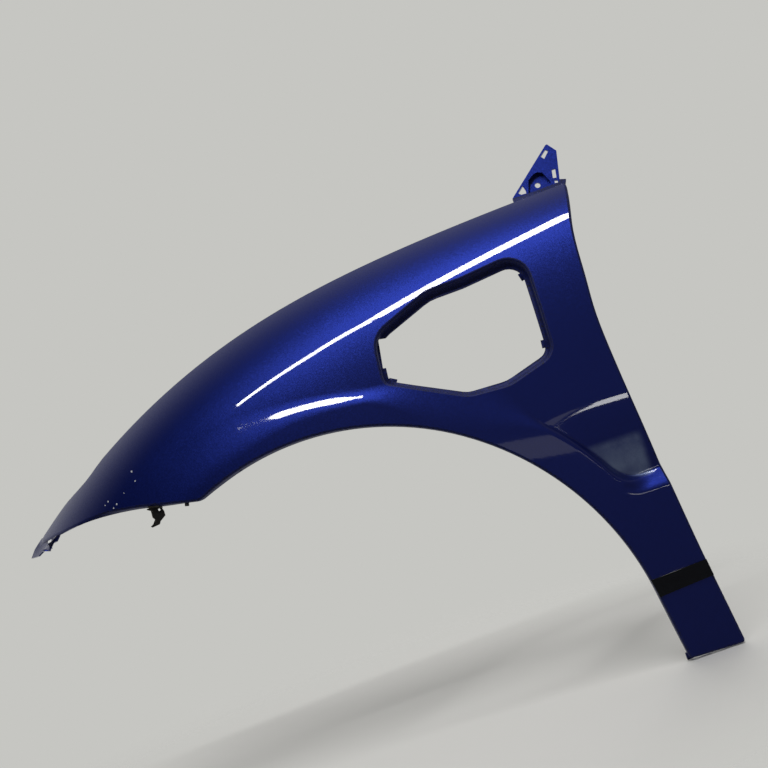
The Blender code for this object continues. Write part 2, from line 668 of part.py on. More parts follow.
def edge_place(edge_name, x):
    """Where a panel edge is at x, with its directions along the edge, out of the panel and off its face."""
    loop, names, _ = skin_outline()
    points, out, normal = edge_directions(loop)
    along = unit(np.roll(points, -1, axis=0) - np.roll(points, 1, axis=0))
    chosen = [k for k, name in enumerate(names) if name == edge_name]
    chosen.sort(key=lambda k: points[k][0])
    found = []
    for rows in (points, along, out, normal):
        found.append(np.array([np.interp(x, points[chosen, 0], rows[chosen, k]) for k in range(3)]))
    return found[0], unit(found[1]), unit(found[2]), unit(found[3])


def bracket_place():
    """Placement of the leaning plate: drawn upright at y = 0, then turned about its foot."""
    foot_z = BRACKET_OUTLINE[0][1]
    foot_x = (BRACKET_OUTLINE[0][0] + BRACKET_OUTLINE[-1][0]) / 2
    foot_y = float(skin_depth(foot_x, hood_height(foot_x))) + BRACKET_FOOT_DEPTH
    lean = Matrix.Rotation(-BRACKET_LEAN, 4, "X")
    stretch = Matrix.Diagonal((1, 1, 1 / math.cos(BRACKET_LEAN), 1))
    return Matrix.Translation((0, foot_y, foot_z)) @ lean @ stretch @ Matrix.Translation((0, 0, -foot_z))


def mount_point():
    """The middle of the flat back of the pocket, beside its bolt hole."""
    x, z = POCKET_HOLE
    return bracket_place() @ Vector((x + MOUNT_BESIDE_HOLE, POCKET_DEPTH + BRACKET_WALL, z))


def widened(outline, distance):
    """An outline moved outwards by a distance, corner by corner."""
    points = np.array(outline)
    before = unit(points - np.roll(points, 1, axis=0))
    after = unit(np.roll(points, -1, axis=0) - points)
    side = np.sign(np.cross(before, after).sum())
    normal_before = side * np.column_stack([before[:, 1], -before[:, 0]])
    normal_after = side * np.column_stack([after[:, 1], -after[:, 0]])
    mitre = unit(normal_before + normal_after)
    reach = distance / np.maximum((mitre * normal_before).sum(axis=1), 0.5)
    return points + mitre * reach[:, None]


def add_upper_bracket(skin, tools):
    """The leaning plate with its rim, pocket, bolt hole and cut-outs."""
    place = bracket_place()
    plate = prism("bracket_plate", BRACKET_OUTLINE, 0, BRACKET_RIM, tools, place)
    hollow = widened(BRACKET_OUTLINE, -BRACKET_WALL)
    core = prism("bracket_rim_core", hollow, BRACKET_WALL, 2 * BRACKET_RIM, tools, place)
    combine(plate, core, "DIFFERENCE")
    tub = prism("pocket_tub", widened(POCKET_OUTLINE, BRACKET_WALL), BRACKET_WALL / 2,
                POCKET_DEPTH + BRACKET_WALL, tools, place)
    combine(plate, tub, "UNION")
    space = prism("pocket_space", POCKET_OUTLINE, -BRACKET_WALL, POCKET_DEPTH, tools, place)
    combine(plate, space, "DIFFERENCE")
    x, z = POCKET_HOLE
    hole = place @ Matrix.Translation((x, 0, z)) @ Matrix.Rotation(-math.pi / 2, 4, "X")
    drill = cylinder("pocket_hole", POCKET_HOLE_RADIUS, -BRACKET_WALL, 3 * POCKET_DEPTH, hole, tools)
    combine(plate, drill, "DIFFERENCE")
    for k, outline in enumerate(BRACKET_CUTS):
        cut = prism(f"bracket_cut_{k + 1}", outline, -BRACKET_RIM, 2 * BRACKET_RIM, tools, place)
        combine(plate, cut, "DIFFERENCE")
    combine(skin, plate, "UNION")


def add_hood_bosses(skin, tools):
    """Round bosses on the bonnet flange, each with a bolt hole, flat and level underneath."""
    wall_depth, flange_length = FLANGES["hood"]
    for k, x in enumerate(BOSS_X):
        z = float(hood_height(x))
        y = float(skin_depth(x, z)) + flange_length - BOSS_RADIUS
        place = Matrix.Translation((x, y, z - wall_depth - WALL / 2))
        boss = cylinder(f"boss_{k + 1}", BOSS_RADIUS, -BOSS_HEIGHT / 2, BOSS_HEIGHT / 2, place, tools)
        hole = cylinder(f"bolt_hole_{k + 1}", BOLT_HOLE_RADIUS, -BOSS_HEIGHT, BOSS_HEIGHT, place, tools)
        combine(skin, boss, "UNION")
        combine(skin, hole, "DIFFERENCE")


def cut_arch_holes(skin, tools):
    """Round holes for the wheel liner's clips, through the arch return."""
    front, rear = arch_centres()
    depth = sum(FLANGES["arch"]) - 2 * ARCH_HOLE_RADIUS
    for k, angle in enumerate(ARCH_HOLE_ANGLES):
        is_front = angle > ARCH_JOIN_ANGLE
        centre = front if is_front else rear
        radius = ARCH_FRONT_RADIUS if is_front else ARCH_REAR_RADIUS
        x, z = centre + radius * direction(angle)
        normal = skin_normal(np.float64(x), np.float64(z))
        point = np.array((x, float(skin_depth(x, z)), z)) - normal * depth
        radial = (math.cos(angle), 0, math.sin(angle))
        place = frame_at(point, (0, 1, 0), radial)
        reach = 4 * WALL
        drill = cylinder(f"liner_hole_{k + 1}", ARCH_HOLE_RADIUS, -reach, reach, place, tools, SMALL_SIDES)
        combine(skin, drill, "DIFFERENCE")


def cut_foot_slot(skin, tools):
    """The adjusting slot in the flange of the foot, which slopes a little from the arch to the door."""
    door_foot, arch_foot = skin_edges()[2][1]
    x, z = (door_foot + arch_foot) / 2
    y = float(skin_depth(x, z)) + sum(FLANGES["foot"]) / 2 + WALL
    slope = math.atan2(arch_foot[1] - door_foot[1], door_foot[0] - arch_foot[0])
    middle = Matrix.Translation((x, y, z)) @ Matrix.Rotation(slope, 4, "Y")
    reach = 3 * WALL
    for end in (-1, 1):
        place = middle @ Matrix.Translation((end * FOOT_SLOT_LENGTH / 2, 0, 0))
        name = f"foot_slot_end_{end + 2}"
        drill = cylinder(name, BOLT_HOLE_RADIUS, -reach, reach, place, tools, SMALL_SIDES)
        combine(skin, drill, "DIFFERENCE")
    size = (FOOT_SLOT_LENGTH, 2 * BOLT_HOLE_RADIUS * math.cos(math.pi / SMALL_SIDES), 2 * reach)
    combine(skin, box("foot_slot", size, (0, 0, 0), middle, tools), "DIFFERENCE")


def add_foot_nib(skin, tools):
    """A small locating nib behind the corner between the foot and the arch edge."""
    arch_foot = skin_edges()[2][1][1]
    y = float(skin_depth(*arch_foot)) + sum(FLANGES["arch"]) / 2 + WALL
    place = Matrix.Translation((arch_foot[0], y, arch_foot[1]))
    combine(skin, box("foot_nib", FOOT_NIB, FOOT_NIB_CENTRE, place, tools), "UNION")


def shape_vent_lip(skin, tools):
    """A notch in the lip of the vent on its front side, and tabs at three of its corners."""
    low, high = VENT_NOTCH
    loop = rounded_loop(VENT_CORNERS, EDGE_STEP)[::-1]
    vent = vent_return(loop)
    points, out, _ = edge_directions(loop)
    along = unit(np.roll(points, -1, axis=0) - np.roll(points, 1, axis=0))
    inner = np.array([[p[0], p[2]] for p in vent.corner])
    k = int(np.argmin(((inner - ((low[0] + high[0]) / 2, (low[1] + high[1]) / 2)) ** 2).sum(axis=1)))
    place = frame_at(vent.corner[k], along[k], out[k])
    size = (high[1] - low[1], 3 * WALL, 2 * VENT_LIP)
    centre = (0, 0, VENT_LIP + VENT_NOTCH_LIP)
    combine(skin, box("vent_notch", size, centre, place, tools), "DIFFERENCE")
    for n, spot in enumerate(VENT_TABS):
        k = int(np.argmin(((loop - spot) ** 2).sum(axis=1)))
        place = frame_at(vent.corner[k], along[k], out[k])
        reach = VENT_LIP + VENT_TAB_REACH
        inward = Vector(place.inverted().to_3x3() @ Vector(-skin_normal(*loop[k]))).y
        centre = (0, math.copysign(WALL / 2, inward), reach / 2)
        tab = box(f"vent_tab_{n + 1}", (VENT_TAB_LENGTH, VENT_TAB_WALL, reach), centre, place, tools)
        combine(skin, tab, "UNION")


def add_tip_seat(skin, tools):
    """The set-back seat at the front tip, which follows the skin behind it, with its slot."""
    bm = bmesh.new()
    for x, z in SEAT_OUTLINE:
        bm.verts.new((x, 0, z))
    face = bm.faces.new(bm.verts)
    bmesh.ops.triangulate(bm, faces=[face])
    bmesh.ops.subdivide_edges(bm, edges=bm.edges, cuts=1, use_grid_fill=True)
    for vertex in bm.verts:
        vertex.co.y = float(skin_depth(vertex.co.x, min(vertex.co.z, float(hood_height(vertex.co.x)))))
    bmesh.ops.recalc_face_normals(bm, faces=bm.faces)
    face_outwards(bm)
    bm.normal_update()
    normals = {v: v.normal.copy() for v in bm.verts}
    for vertex, normal in normals.items():
        vertex.co -= normal * SEAT_INSET
    seat = new_object("tip_seat", bm, tools)
    thicken(seat, SEAT_WALL)
    slot = prism("tip_slot", SEAT_SLOT, 0, 0.4, tools)
    combine(seat, slot, "DIFFERENCE")
    combine(skin, seat, "UNION")


def under_edge_place(x):
    """A placement on the outer face of the bumper edge's return: X along it, Z down and away from it."""
    point, along, out, normal = edge_place("bumper", x)
    return frame_at(point, along, out), normal


def make_skin(parts, tools):
    skin = new_object("fender_skin", open_skin(), parts)
    thicken(skin, WALL)
    add_upper_bracket(skin, tools)
    add_hood_bosses(skin, tools)
    add_tip_seat(skin, tools)
    shape_vent_lip(skin, tools)
    cut_arch_holes(skin, tools)
    add_foot_nib(skin, tools)
    cut_foot_slot(skin, tools)
    for k, x in enumerate((BUMPER_BRACKET_X, CLIP_X)):
        place, normal = under_edge_place(x)
        drill = cylinder(f"peg_hole_{k + 1}", PEG_RADIUS + PEG_CLEARANCE, -3 * WALL, WALL,
                         peg_place(place, normal), tools, SMALL_SIDES)
        combine(skin, drill, "DIFFERENCE")
    return skin


def peg_place(place, normal):
    """Placement of a peg that stands in the middle of the bumper edge's return."""
    depth = (sum(FLANGES["bumper"]) + WALL / 2) / 2
    return Matrix.Translation(Vector(-normal * depth)) @ place


def make_bumper_bracket(parts, tools):
    """A leaf under the bumper edge with a peg up through it, and a leg that hangs from the leaf."""
    place, normal = under_edge_place(BUMPER_BRACKET_X)
    seat = peg_place(place, normal)
    thickness = BRACKET_LEAF[2]
    bracket = box("bumper_bracket", BRACKET_LEAF, (0, 0, SEAT_GAP + thickness / 2), seat, parts)
    inside_leaf = SEAT_GAP + thickness / 2
    peg = cylinder("bracket_peg", PEG_RADIUS, -PEG_LENGTH, inside_leaf, seat, tools, SMALL_SIDES)
    combine(bracket, peg, "UNION")
    top = seat @ Vector((0, 0, SEAT_GAP + thickness))
    outline = [(top.x + x, top.z + z) for x, z in BRACKET_LEG]
    back = top.y + BRACKET_LEG_SETBACK
    leg = prism("bracket_leg", outline, back - BRACKET_LEG_WALL, back, tools)
    combine(bracket, leg, "UNION")
    x, z = BRACKET_LEG_HOLE
    place = Matrix.Translation((top.x + x, back, top.z + z)) @ Matrix.Rotation(math.pi / 2, 4, "X")
    reach = 2 * BRACKET_LEG_WALL
    hole = cylinder("bracket_leg_hole", BRACKET_LEG_HOLE_RADIUS, -reach, reach, place, tools, SMALL_SIDES)
    combine(bracket, hole, "DIFFERENCE")
    return bracket


def make_liner_clip(parts, tools):
    """A push-in clip: its head under the bumper edge and its peg up through it."""
    place, normal = under_edge_place(CLIP_X)
    seat = peg_place(place, normal)
    clip = cylinder("liner_clip", CLIP_HEAD_RADIUS, SEAT_GAP, SEAT_GAP + CLIP_HEAD_HEIGHT, seat, parts, 16)
    inside_head = SEAT_GAP + CLIP_HEAD_HEIGHT / 2
    peg = cylinder("clip_peg", PEG_RADIUS, -PEG_LENGTH, inside_head, seat, tools, SMALL_SIDES)
    combine(clip, peg, "UNION")
    return clip


def make_badge_strip(parts):
    """A thin strip that follows the leg from the arch edge to the door edge."""
    edges = {name: path for name, path, _ in skin_edges()}
    arch = edges["arch"][:np.argmax(edges["arch"][:, 1])]
    door = edges["door"][::-1]
    bm = bmesh.new()
    bmesh.ops.create_grid(bm, x_segments=STRIP_COLUMNS, y_segments=STRIP_ROWS, size=0.5)
    for vertex in bm.verts:
        across, up = vertex.co.x + 0.5, vertex.co.y + 0.5
        z_front = STRIP_BOTTOM[0] + up * (STRIP_TOP[0] - STRIP_BOTTOM[0])
        z_rear = STRIP_BOTTOM[1] + up * (STRIP_TOP[1] - STRIP_BOTTOM[1])
        x_front = np.interp(z_front, arch[:, 1], arch[:, 0])
        x_rear = np.interp(z_rear, door[:, 1], door[:, 0])
        x = x_front + across * (x_rear - x_front)
        z = z_front + across * (z_rear - z_front)
        vertex.co = (x, float(skin_depth(x, z)) - SEAT_GAP, z)
    bmesh.ops.recalc_face_normals(bm, faces=bm.faces)
    face_outwards(bm)
    strip = new_object("badge_strip", bm, parts)
    thicken(strip, STRIP_THICKNESS).offset = 1
    return strip


def material(name, colour, roughness, metallic=0.0, coat=0.0):
    made = bpy.data.materials.new(name)
    made.use_nodes = True
    shader = made.node_tree.nodes["Principled BSDF"]
    shader.inputs["Base Color"].default_value = (*colour, 1)
    shader.inputs["Roughness"].default_value = roughness
    shader.inputs["Metallic"].default_value = metallic
    shader.inputs["Coat Weight"].default_value = coat
    return made


def main():
    for obj in list(bpy.data.objects):
        bpy.data.objects.remove(obj)
    parts = bpy.data.collections.new("car_fender")
    tools = bpy.data.collections.new("cutters_and_additions")
    bpy.context.scene.collection.children.link(parts)
    bpy.context.scene.collection.children.link(tools)
    finished = [
        (make_skin(parts, tools), material("blue_metallic_paint", (0.012, 0.035, 0.25), 0.3, 0.6, 1.0)),
        (make_badge_strip(parts), material("black_gloss_trim", (0.006, 0.006, 0.007), 0.15)),
        (make_bumper_bracket(parts, tools), material("black_moulded_plastic", (0.02, 0.018, 0.016), 0.6)),
        (make_liner_clip(parts, tools), material("grey_clip_plastic", (0.05, 0.05, 0.05), 0.6)),
    ]
    for obj, finish in finished:
        obj.data.materials.append(finish)
    to_origin = Matrix.Translation(-mount_point())
    for obj in [*parts.objects, *tools.objects]:
        obj.data.transform(to_origin)


main()
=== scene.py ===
# %% [markdown]
# # A painted car fender, dressed
#
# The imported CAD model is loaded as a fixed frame: a left front fender moulded in one piece, a trim
# strip on its leg, and a small bracket and a clip under its front edge. This file gives it the
# fine surface, the rounded edges and the finishes of the real one, in metres and in the same frame.

# %% Load the frame
import math

import bmesh
import bpy
import numpy as np
from mathutils import Matrix, Vector


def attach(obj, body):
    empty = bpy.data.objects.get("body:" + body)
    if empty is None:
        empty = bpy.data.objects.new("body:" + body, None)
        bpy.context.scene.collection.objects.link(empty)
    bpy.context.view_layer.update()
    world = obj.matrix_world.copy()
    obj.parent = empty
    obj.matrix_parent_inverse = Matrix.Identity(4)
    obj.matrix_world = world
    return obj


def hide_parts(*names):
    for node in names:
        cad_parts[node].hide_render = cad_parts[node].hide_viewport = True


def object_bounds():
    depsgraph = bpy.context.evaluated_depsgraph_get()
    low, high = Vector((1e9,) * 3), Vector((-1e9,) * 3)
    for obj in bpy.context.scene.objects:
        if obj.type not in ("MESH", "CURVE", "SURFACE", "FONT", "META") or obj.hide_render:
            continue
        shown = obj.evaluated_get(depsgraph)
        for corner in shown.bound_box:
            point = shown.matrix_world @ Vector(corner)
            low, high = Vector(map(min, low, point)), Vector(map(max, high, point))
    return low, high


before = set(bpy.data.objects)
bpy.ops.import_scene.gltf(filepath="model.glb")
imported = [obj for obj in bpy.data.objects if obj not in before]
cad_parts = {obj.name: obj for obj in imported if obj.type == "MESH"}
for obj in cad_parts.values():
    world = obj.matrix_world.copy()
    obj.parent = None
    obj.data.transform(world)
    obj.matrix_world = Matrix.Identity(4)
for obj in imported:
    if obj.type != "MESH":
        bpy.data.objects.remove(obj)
cad_box = [list(corner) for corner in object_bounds()]
print("CAD nodes:", ", ".join(sorted(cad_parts)))
print("CAD box in mm:", [round((b - a) * 1000, 1) for a, b in zip(*cad_box)])

# %% [markdown]
# ## Where the camera stood
#
# The photograph was taken square to the side of the car with a long lens, two metres from the
# panel, and the fender had been leaned over by 19 degrees. The panel stays upright here, so the
# camera rolls instead. It comes first because the lamps are placed against its view.

# %% The camera
CAMERA_PLACE = Vector((-0.2940, -2.165268, -0.19748))
LEAN_IN_PHOTO = math.radians(19)
CAMERA_DISTANCE, METRES_PER_PIXEL, HALF_PICTURE = 2.0, 0.00133, 384

camera_data = bpy.data.cameras.new("camera")
camera_data.sensor_fit = "HORIZONTAL"
camera_data.angle = 2 * math.atan(HALF_PICTURE / (CAMERA_DISTANCE / METRES_PER_PIXEL))
camera = bpy.data.objects.new("camera", camera_data)
bpy.context.scene.collection.objects.link(camera)
camera.matrix_world = (Matrix.Translation(CAMERA_PLACE) @ Matrix.Rotation(LEAN_IN_PHOTO, 4, "Y")
                       @ Matrix.Rotation(math.radians(90), 4, "X"))
bpy.context.scene.camera = camera
bpy.context.scene.view_settings.view_transform = "Standard"
print("field of view in degrees:", round(math.degrees(camera_data.angle), 2))

# %% [markdown]
# ## The painted face as a formula
#
# A car body side is a smooth surface that light runs over, so facets show at once in its
# highlights. The CAD triangles lie on a surface that a formula gives: how deep the panel lies at
# each point of its side view. The formula is written again here, so that new points between the
# CAD points can be put exactly on it. It counts from the wheel centre, and `WHEEL_CENTRE` turns
# the two into each other.

# %% The side section and the bonnet edge
WHEEL_CENTRE = np.array((-0.4341, -0.165268, -0.63328))
WALL = 0.0024

HOOD_FRONT, HOOD_FRONT_ANGLE, HOOD_FRONT_PULL = (-0.4245, 0.3717), math.radians(35.9), 0.39868
HOOD_REAR, HOOD_REAR_ANGLE, HOOD_REAR_PULL = (0.4765, 0.6237), math.radians(1.9), 0.42434
SHOULDER_DEPTH, SHOULDER_FADE = 0.074, 0.052
BELT_HEIGHT, BARREL_RADIUS_ABOVE, BARREL_RADIUS_BELOW = 0.130, 2.5, 4.0
NOSE_START_X, NOSE_RADIUS = 0.100, 1.45
TIP_TAPER_X, TIP_TAPER = -0.150, 0.9
FORMULA_REACH = 0.01        # how far above the bonnet edge the shoulder still rises


def smoothstep(t):
    t = np.clip(t, 0.0, 1.0)
    return t * t * (3.0 - 2.0 * t)


def direction(angle):
    return np.array((math.cos(angle), math.sin(angle)))


def hood_handles():
    """The four control points of the bonnet edge's Bezier curve."""
    front, rear = np.array(HOOD_FRONT), np.array(HOOD_REAR)
    span = np.linalg.norm(rear - front)
    return (front, front + HOOD_FRONT_PULL * span * direction(HOOD_FRONT_ANGLE),
            rear - HOOD_REAR_PULL * span * direction(HOOD_REAR_ANGLE), rear)


def hood_height(x):
    """Height of the bonnet edge at x, by Newton steps on its curve."""
    (a, e), (b, f), (c, g), (d, h) = hood_handles()
    t = (np.asarray(x, float) - a) / (d - a)
    for _ in range(8):
        here = (1 - t) ** 3 * a + 3 * t * (1 - t) ** 2 * b + 3 * t * t * (1 - t) * c + t ** 3 * d
        slope = 3 * ((1 - t) ** 2 * (b - a) + 2 * t * (1 - t) * (c - b) + t * t * (d - c))
        t = t - (here - x) / slope
    return (1 - t) ** 3 * e + 3 * t * (1 - t) ** 2 * f + 3 * t * t * (1 - t) * g + t ** 3 * h


mount_x = -WHEEL_CENTRE[0]
print("bonnet edge at the mount, mm above the wheel centre:",
      round(float(hood_height(mount_x)) * 1000, 1))

# %% [markdown]
# The side also has a raised band round the wheel arch, bounded by a ledge. Behind the vent the
# ledge drops into a crease, over a hollow in the side. Below the vent it fades out, and over the
# front of the arch it comes back as an even step, so soft that only a highlight shows it.

# %% The raised band, the hollow and the whole face
ARCH_FRONT_CENTRE, ARCH_FRONT_RADIUS, ARCH_REAR_RADIUS = np.array((0.007, 0.026)), 0.375, 0.4095
ARCH_JOIN_ANGLE, ARCH_STRAIGHT_ANGLE = math.radians(57.3), math.radians(8.0)
ARCH_CENTRE_STEP = (ARCH_FRONT_RADIUS - ARCH_REAR_RADIUS) * direction(ARCH_JOIN_ANGLE)
ARCH_REAR_CENTRE = ARCH_FRONT_CENTRE + ARCH_CENTRE_STEP
BAND_WIDTH_TOP, BAND_WIDTH_REAR = 0.042, 0.052
BAND_TURN_ANGLE, BAND_TURN_RANGE = math.radians(65), math.radians(30)
LEDGE_HEIGHT = 0.007
LEDGE_WIDTH_DOOR, LEDGE_WIDTH_REAR, LEDGE_WIDTH_MIDDLE = 0.030, 0.010, 0.070
LEDGE_WIDTH_TOP, LEDGE_WIDTH_FRONT = 0.0225, 0.060
LEDGE_TIGHTENS, LEDGE_SOFTENS = np.radians((22, 28)), np.radians((43, 57))
LEDGE_FIRMS, LEDGE_WIDENS = np.radians((62, 76)), np.radians((76, 95))
LEG_TOP, LEG_BLEND = 0.200, 0.030
CREASE_HEIGHT, HOLLOW_DEPTH, HOLLOW_DROP = 0.320, 0.011, 0.110
HOLLOW_START_X, HOLLOW_RUN, HOLLOW_SOFTNESS = 0.280, 0.110, 0.006


def part_way(angle, span):
    """How far an angle has come through a span of angles, from 0 to 1."""
    return np.clip((angle - span[0]) / (span[1] - span[0]), 0, 1)


def arch_distance(x, z):
    """How far a point lies outside the wheel arch edge, in side view."""
    ahead = np.hypot(x - ARCH_FRONT_CENTRE[0], z - ARCH_FRONT_CENTRE[1]) - ARCH_FRONT_RADIUS
    behind = np.hypot(x - ARCH_REAR_CENTRE[0], z - ARCH_REAR_CENTRE[1]) - ARCH_REAR_RADIUS
    is_ahead = np.arctan2(z - ARCH_FRONT_CENTRE[1], x - ARCH_FRONT_CENTRE[0]) > ARCH_JOIN_ANGLE
    out = direction(ARCH_STRAIGHT_ANGLE)
    straight = ((x - ARCH_REAR_CENTRE[0]) * out[0] + (z - ARCH_REAR_CENTRE[1]) * out[1]
                - ARCH_REAR_RADIUS)
    low = np.arctan2(z - ARCH_REAR_CENTRE[1], x - ARCH_REAR_CENTRE[0]) < ARCH_STRAIGHT_ANGLE
    return np.where(low, straight, np.where(is_ahead, ahead, behind))


def band_distance(x, z):
    """How far a point lies outside the middle of the ledge round the raised band and the leg."""
    turn = smoothstep((BAND_TURN_ANGLE - np.arctan2(z, x)) / BAND_TURN_RANGE)
    band = BAND_WIDTH_TOP + (BAND_WIDTH_REAR - BAND_WIDTH_TOP) * turn
    round_arch = arch_distance(x, z) - band
    above_leg = z - LEG_TOP
    share = np.clip(0.5 + 0.5 * (above_leg - round_arch) / LEG_BLEND, 0, 1)
    return above_leg * (1 - share) + round_arch * share - LEG_BLEND * share * (1 - share)


def ledge_width(x, z):
    """Width of the ledge at each angle round the wheel centre."""
    angle = np.arctan2(z, x)
    tight = smoothstep(part_way(angle, LEDGE_TIGHTENS))
    softened = smoothstep(part_way(angle, LEDGE_SOFTENS))
    firm = smoothstep(part_way(angle, LEDGE_FIRMS))
    width = LEDGE_WIDTH_DOOR + (LEDGE_WIDTH_REAR - LEDGE_WIDTH_DOOR) * tight
    width = width + (LEDGE_WIDTH_MIDDLE - LEDGE_WIDTH_REAR) * softened
    width = width + (LEDGE_WIDTH_TOP - LEDGE_WIDTH_MIDDLE) * firm
    return width + (LEDGE_WIDTH_FRONT - LEDGE_WIDTH_TOP) * part_way(angle, LEDGE_WIDENS)


def ledge_share(x, z):
    """How far the ledge has stepped inwards: evenly, but behind the vent it ends in a crease."""
    t = np.clip(0.5 + band_distance(x, z) / ledge_width(x, z), 0, 1)
    even = smoothstep(t)
    return t * t + (even - t * t) * smoothstep(part_way(np.arctan2(z, x), LEDGE_SOFTENS))


def step_height(x, z):
    """How far the side lies below the band past the ledge: its step, and the hollow by the vent."""
    fall = (CREASE_HEIGHT - z) / HOLLOW_DROP
    fall = np.clip(0.5 * (fall + np.sqrt(fall * fall + HOLLOW_SOFTNESS)), 0, 1)
    back = smoothstep((x - HOLLOW_START_X) / HOLLOW_RUN)
    return LEDGE_HEIGHT + HOLLOW_DEPTH * fall * (1 + fall) / 2 * back


def cad_depth(x, z):
    """Depth of the CAD's painted face at a point of the side view, from the wheel centre."""
    below_hood = np.maximum(hood_height(x) - z, -FORMULA_REACH)
    depth = SHOULDER_DEPTH * np.exp(-below_hood / SHOULDER_FADE)
    rise = z - BELT_HEIGHT
    depth = depth + rise ** 2 / (2 * np.where(rise > 0, BARREL_RADIUS_ABOVE, BARREL_RADIUS_BELOW))
    depth = depth + np.maximum(NOSE_START_X - x, 0) ** 2 / (2 * NOSE_RADIUS)
    depth = depth + np.maximum(TIP_TAPER_X - x, 0) ** 3 / TIP_TAPER
    return depth + ledge_share(x, z) * step_height(x, z)


print("depth of the face at the bonnet edge over the mount, mm:",
      round(float(cad_depth(mount_x, hood_height(mount_x))) * 1000, 1))

# %% [markdown]
# Over the front of the arch the photograph tells more than the CAD holds: the lamp's reflection
# runs along the soft ledge as one thin stroke, which depends on a few tenths of a millimetre. So
# the ledge is trimmed there, by up to 1.4 mm. Where the crease meets the door edge, the step falls
# evenly instead of in a crease. Every point of the panel, inside and out, moves with the trim.

# %% The two ends of the ledge, trimmed to their highlights
DOOR_FALL = np.radians((24.0, 27.5))
TRIM_STARTS, TRIM_ENDS = np.radians((70.8599, 84.0)), np.radians((100, 112))
STEP_SHARE, RISE_RUN, STEP_SHIFT = 0.7784, 0.1074, -0.0028
STEP_WIDTH_START, STEP_WIDTH_CROWN, STEP_WIDTH_END = 0.019, 0.0346, 0.0508
STEP_WIDENS, STEP_FADES = np.radians((76.4829, 90.7303)), np.radians((90.7303, 98.6368))


def ledge_trim(x, z):
    """How much deeper the trimmed ledge lies than the CAD's at a point of the side view."""
    angle = np.arctan2(z, x)
    width = STEP_WIDTH_START + (STEP_WIDTH_CROWN - STEP_WIDTH_START) * part_way(angle, STEP_WIDENS)
    width = width + (STEP_WIDTH_END - STEP_WIDTH_CROWN) * part_way(angle, STEP_FADES)
    step = smoothstep(0.5 + (band_distance(x, z) - STEP_SHIFT) / width)
    rise = smoothstep(band_distance(x, z) / RISE_RUN)
    front = smoothstep(part_way(angle, TRIM_STARTS)) * (1 - smoothstep(part_way(angle, TRIM_ENDS)))
    by_door = 1 - smoothstep(part_way(angle, DOOR_FALL))
    even = smoothstep(0.5 + band_distance(x, z) / LEDGE_WIDTH_DOOR)
    share = ledge_share(x, z)
    stroke = STEP_SHARE * step + (1 - STEP_SHARE) * rise
    return (front * (stroke - share) + by_door * (even - share)) * step_height(x, z)


def face_depth(x, z):
    """Depth of the finished painted face at a point of the side view, from the wheel centre."""
    return cad_depth(x, z) + ledge_trim(x, z)


def face_normal(x, z):
    """Unit normals of the painted face, pointing out of the car."""
    step = 0.0001
    slope_x = (face_depth(x + step, z) - face_depth(x - step, z)) / (2 * step)
    slope_z = (face_depth(x, z + step) - face_depth(x, z - step)) / (2 * step)
    normal = np.stack([slope_x, -np.ones_like(slope_x), slope_z], axis=-1)
    return normal / np.linalg.norm(normal, axis=-1, keepdims=True)


def put_on_face(points, depth_below):
    """Moves points onto the painted face, or onto the inner face a wall's thickness below it."""
    local = points - WHEEL_CENTRE
    foot = local.copy()
    for _ in range(4):
        normal = face_normal(foot[:, 0], foot[:, 2])
        foot = local + normal * depth_below
    normal = face_normal(foot[:, 0], foot[:, 2])
    y = face_depth(foot[:, 0], foot[:, 2]) - normal[:, 1] * depth_below
    return np.column_stack([local[:, 0], y, local[:, 2]]) + WHEEL_CENTRE


print("normal of the face at the belt line:", np.round(face_normal(0.2, BELT_HEIGHT), 3))

# %% [markdown]
# ## The panel
#
# A CAD node is a heap of loose triangles that share no points. A copy of it is merged, so that it
# is one closed skin. Then the long edges of the painted face and of the bare inner face are cut
# in two again and again, and each new point is put on the formula's surface. The flanges, the
# mount and the small features keep their own triangles.

# %% Copy and merge the CAD skin
MERGE_DISTANCE = 0.00002


def merged_copy(node):
    """A bmesh of a CAD node with its loose triangles joined."""
    bm = bmesh.new()
    bm.from_mesh(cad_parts[node].data)
    bmesh.ops.remove_doubles(bm, verts=bm.verts, dist=MERGE_DISTANCE)
    return bm


def coordinates(vertices):
    return np.array([v.co for v in vertices], float).reshape(-1, 3)


skin = merged_copy("fender_skin")
open_edges = sum(1 for e in skin.edges if len(e.link_faces) != 2)
print("merged skin:", len(skin.verts), "points,", len(skin.faces), "triangles,",
      open_edges, "open edges")

local = coordinates(skin.verts) - WHEEL_CENTRE
trims = ledge_trim(local[:, 0], local[:, 2])
for v, trim in zip(skin.verts, trims):
    v.co.y += trim
print("ledge trim in mm:", round(trims.min() * 1000, 2), "to", round(trims.max() * 1000, 2))

# %% Find the painted face and the inner face
OUTER, INNER = 1, 2
DEPTH_BELOW = {OUTER: 0.0, INNER: WALL}
ON_FACE = {OUTER: 0.00008, INNER: 0.0004}         # how near a point lies to count as on it
LONGEST_EDGE = {OUTER: 0.003, INNER: 0.007}
CUTTING_ROUNDS = 6

points = coordinates(skin.verts)
layer = skin.verts.layers.int.new("layer")
skin.verts.ensure_lookup_table()
for mark in (INNER, OUTER):
    off = np.abs(points[:, 1] - put_on_face(points, DEPTH_BELOW[mark])[:, 1])
    for k in np.flatnonzero(off < ON_FACE[mark]):
        skin.verts[k][layer] = mark
    print("points on layer", mark, ":", sum(v[layer] == mark for v in skin.verts))


# %% Cut the long edges and put the new points on the surface
def face_is_on(face, mark):
    return all(v[layer] == mark for v in face.verts)


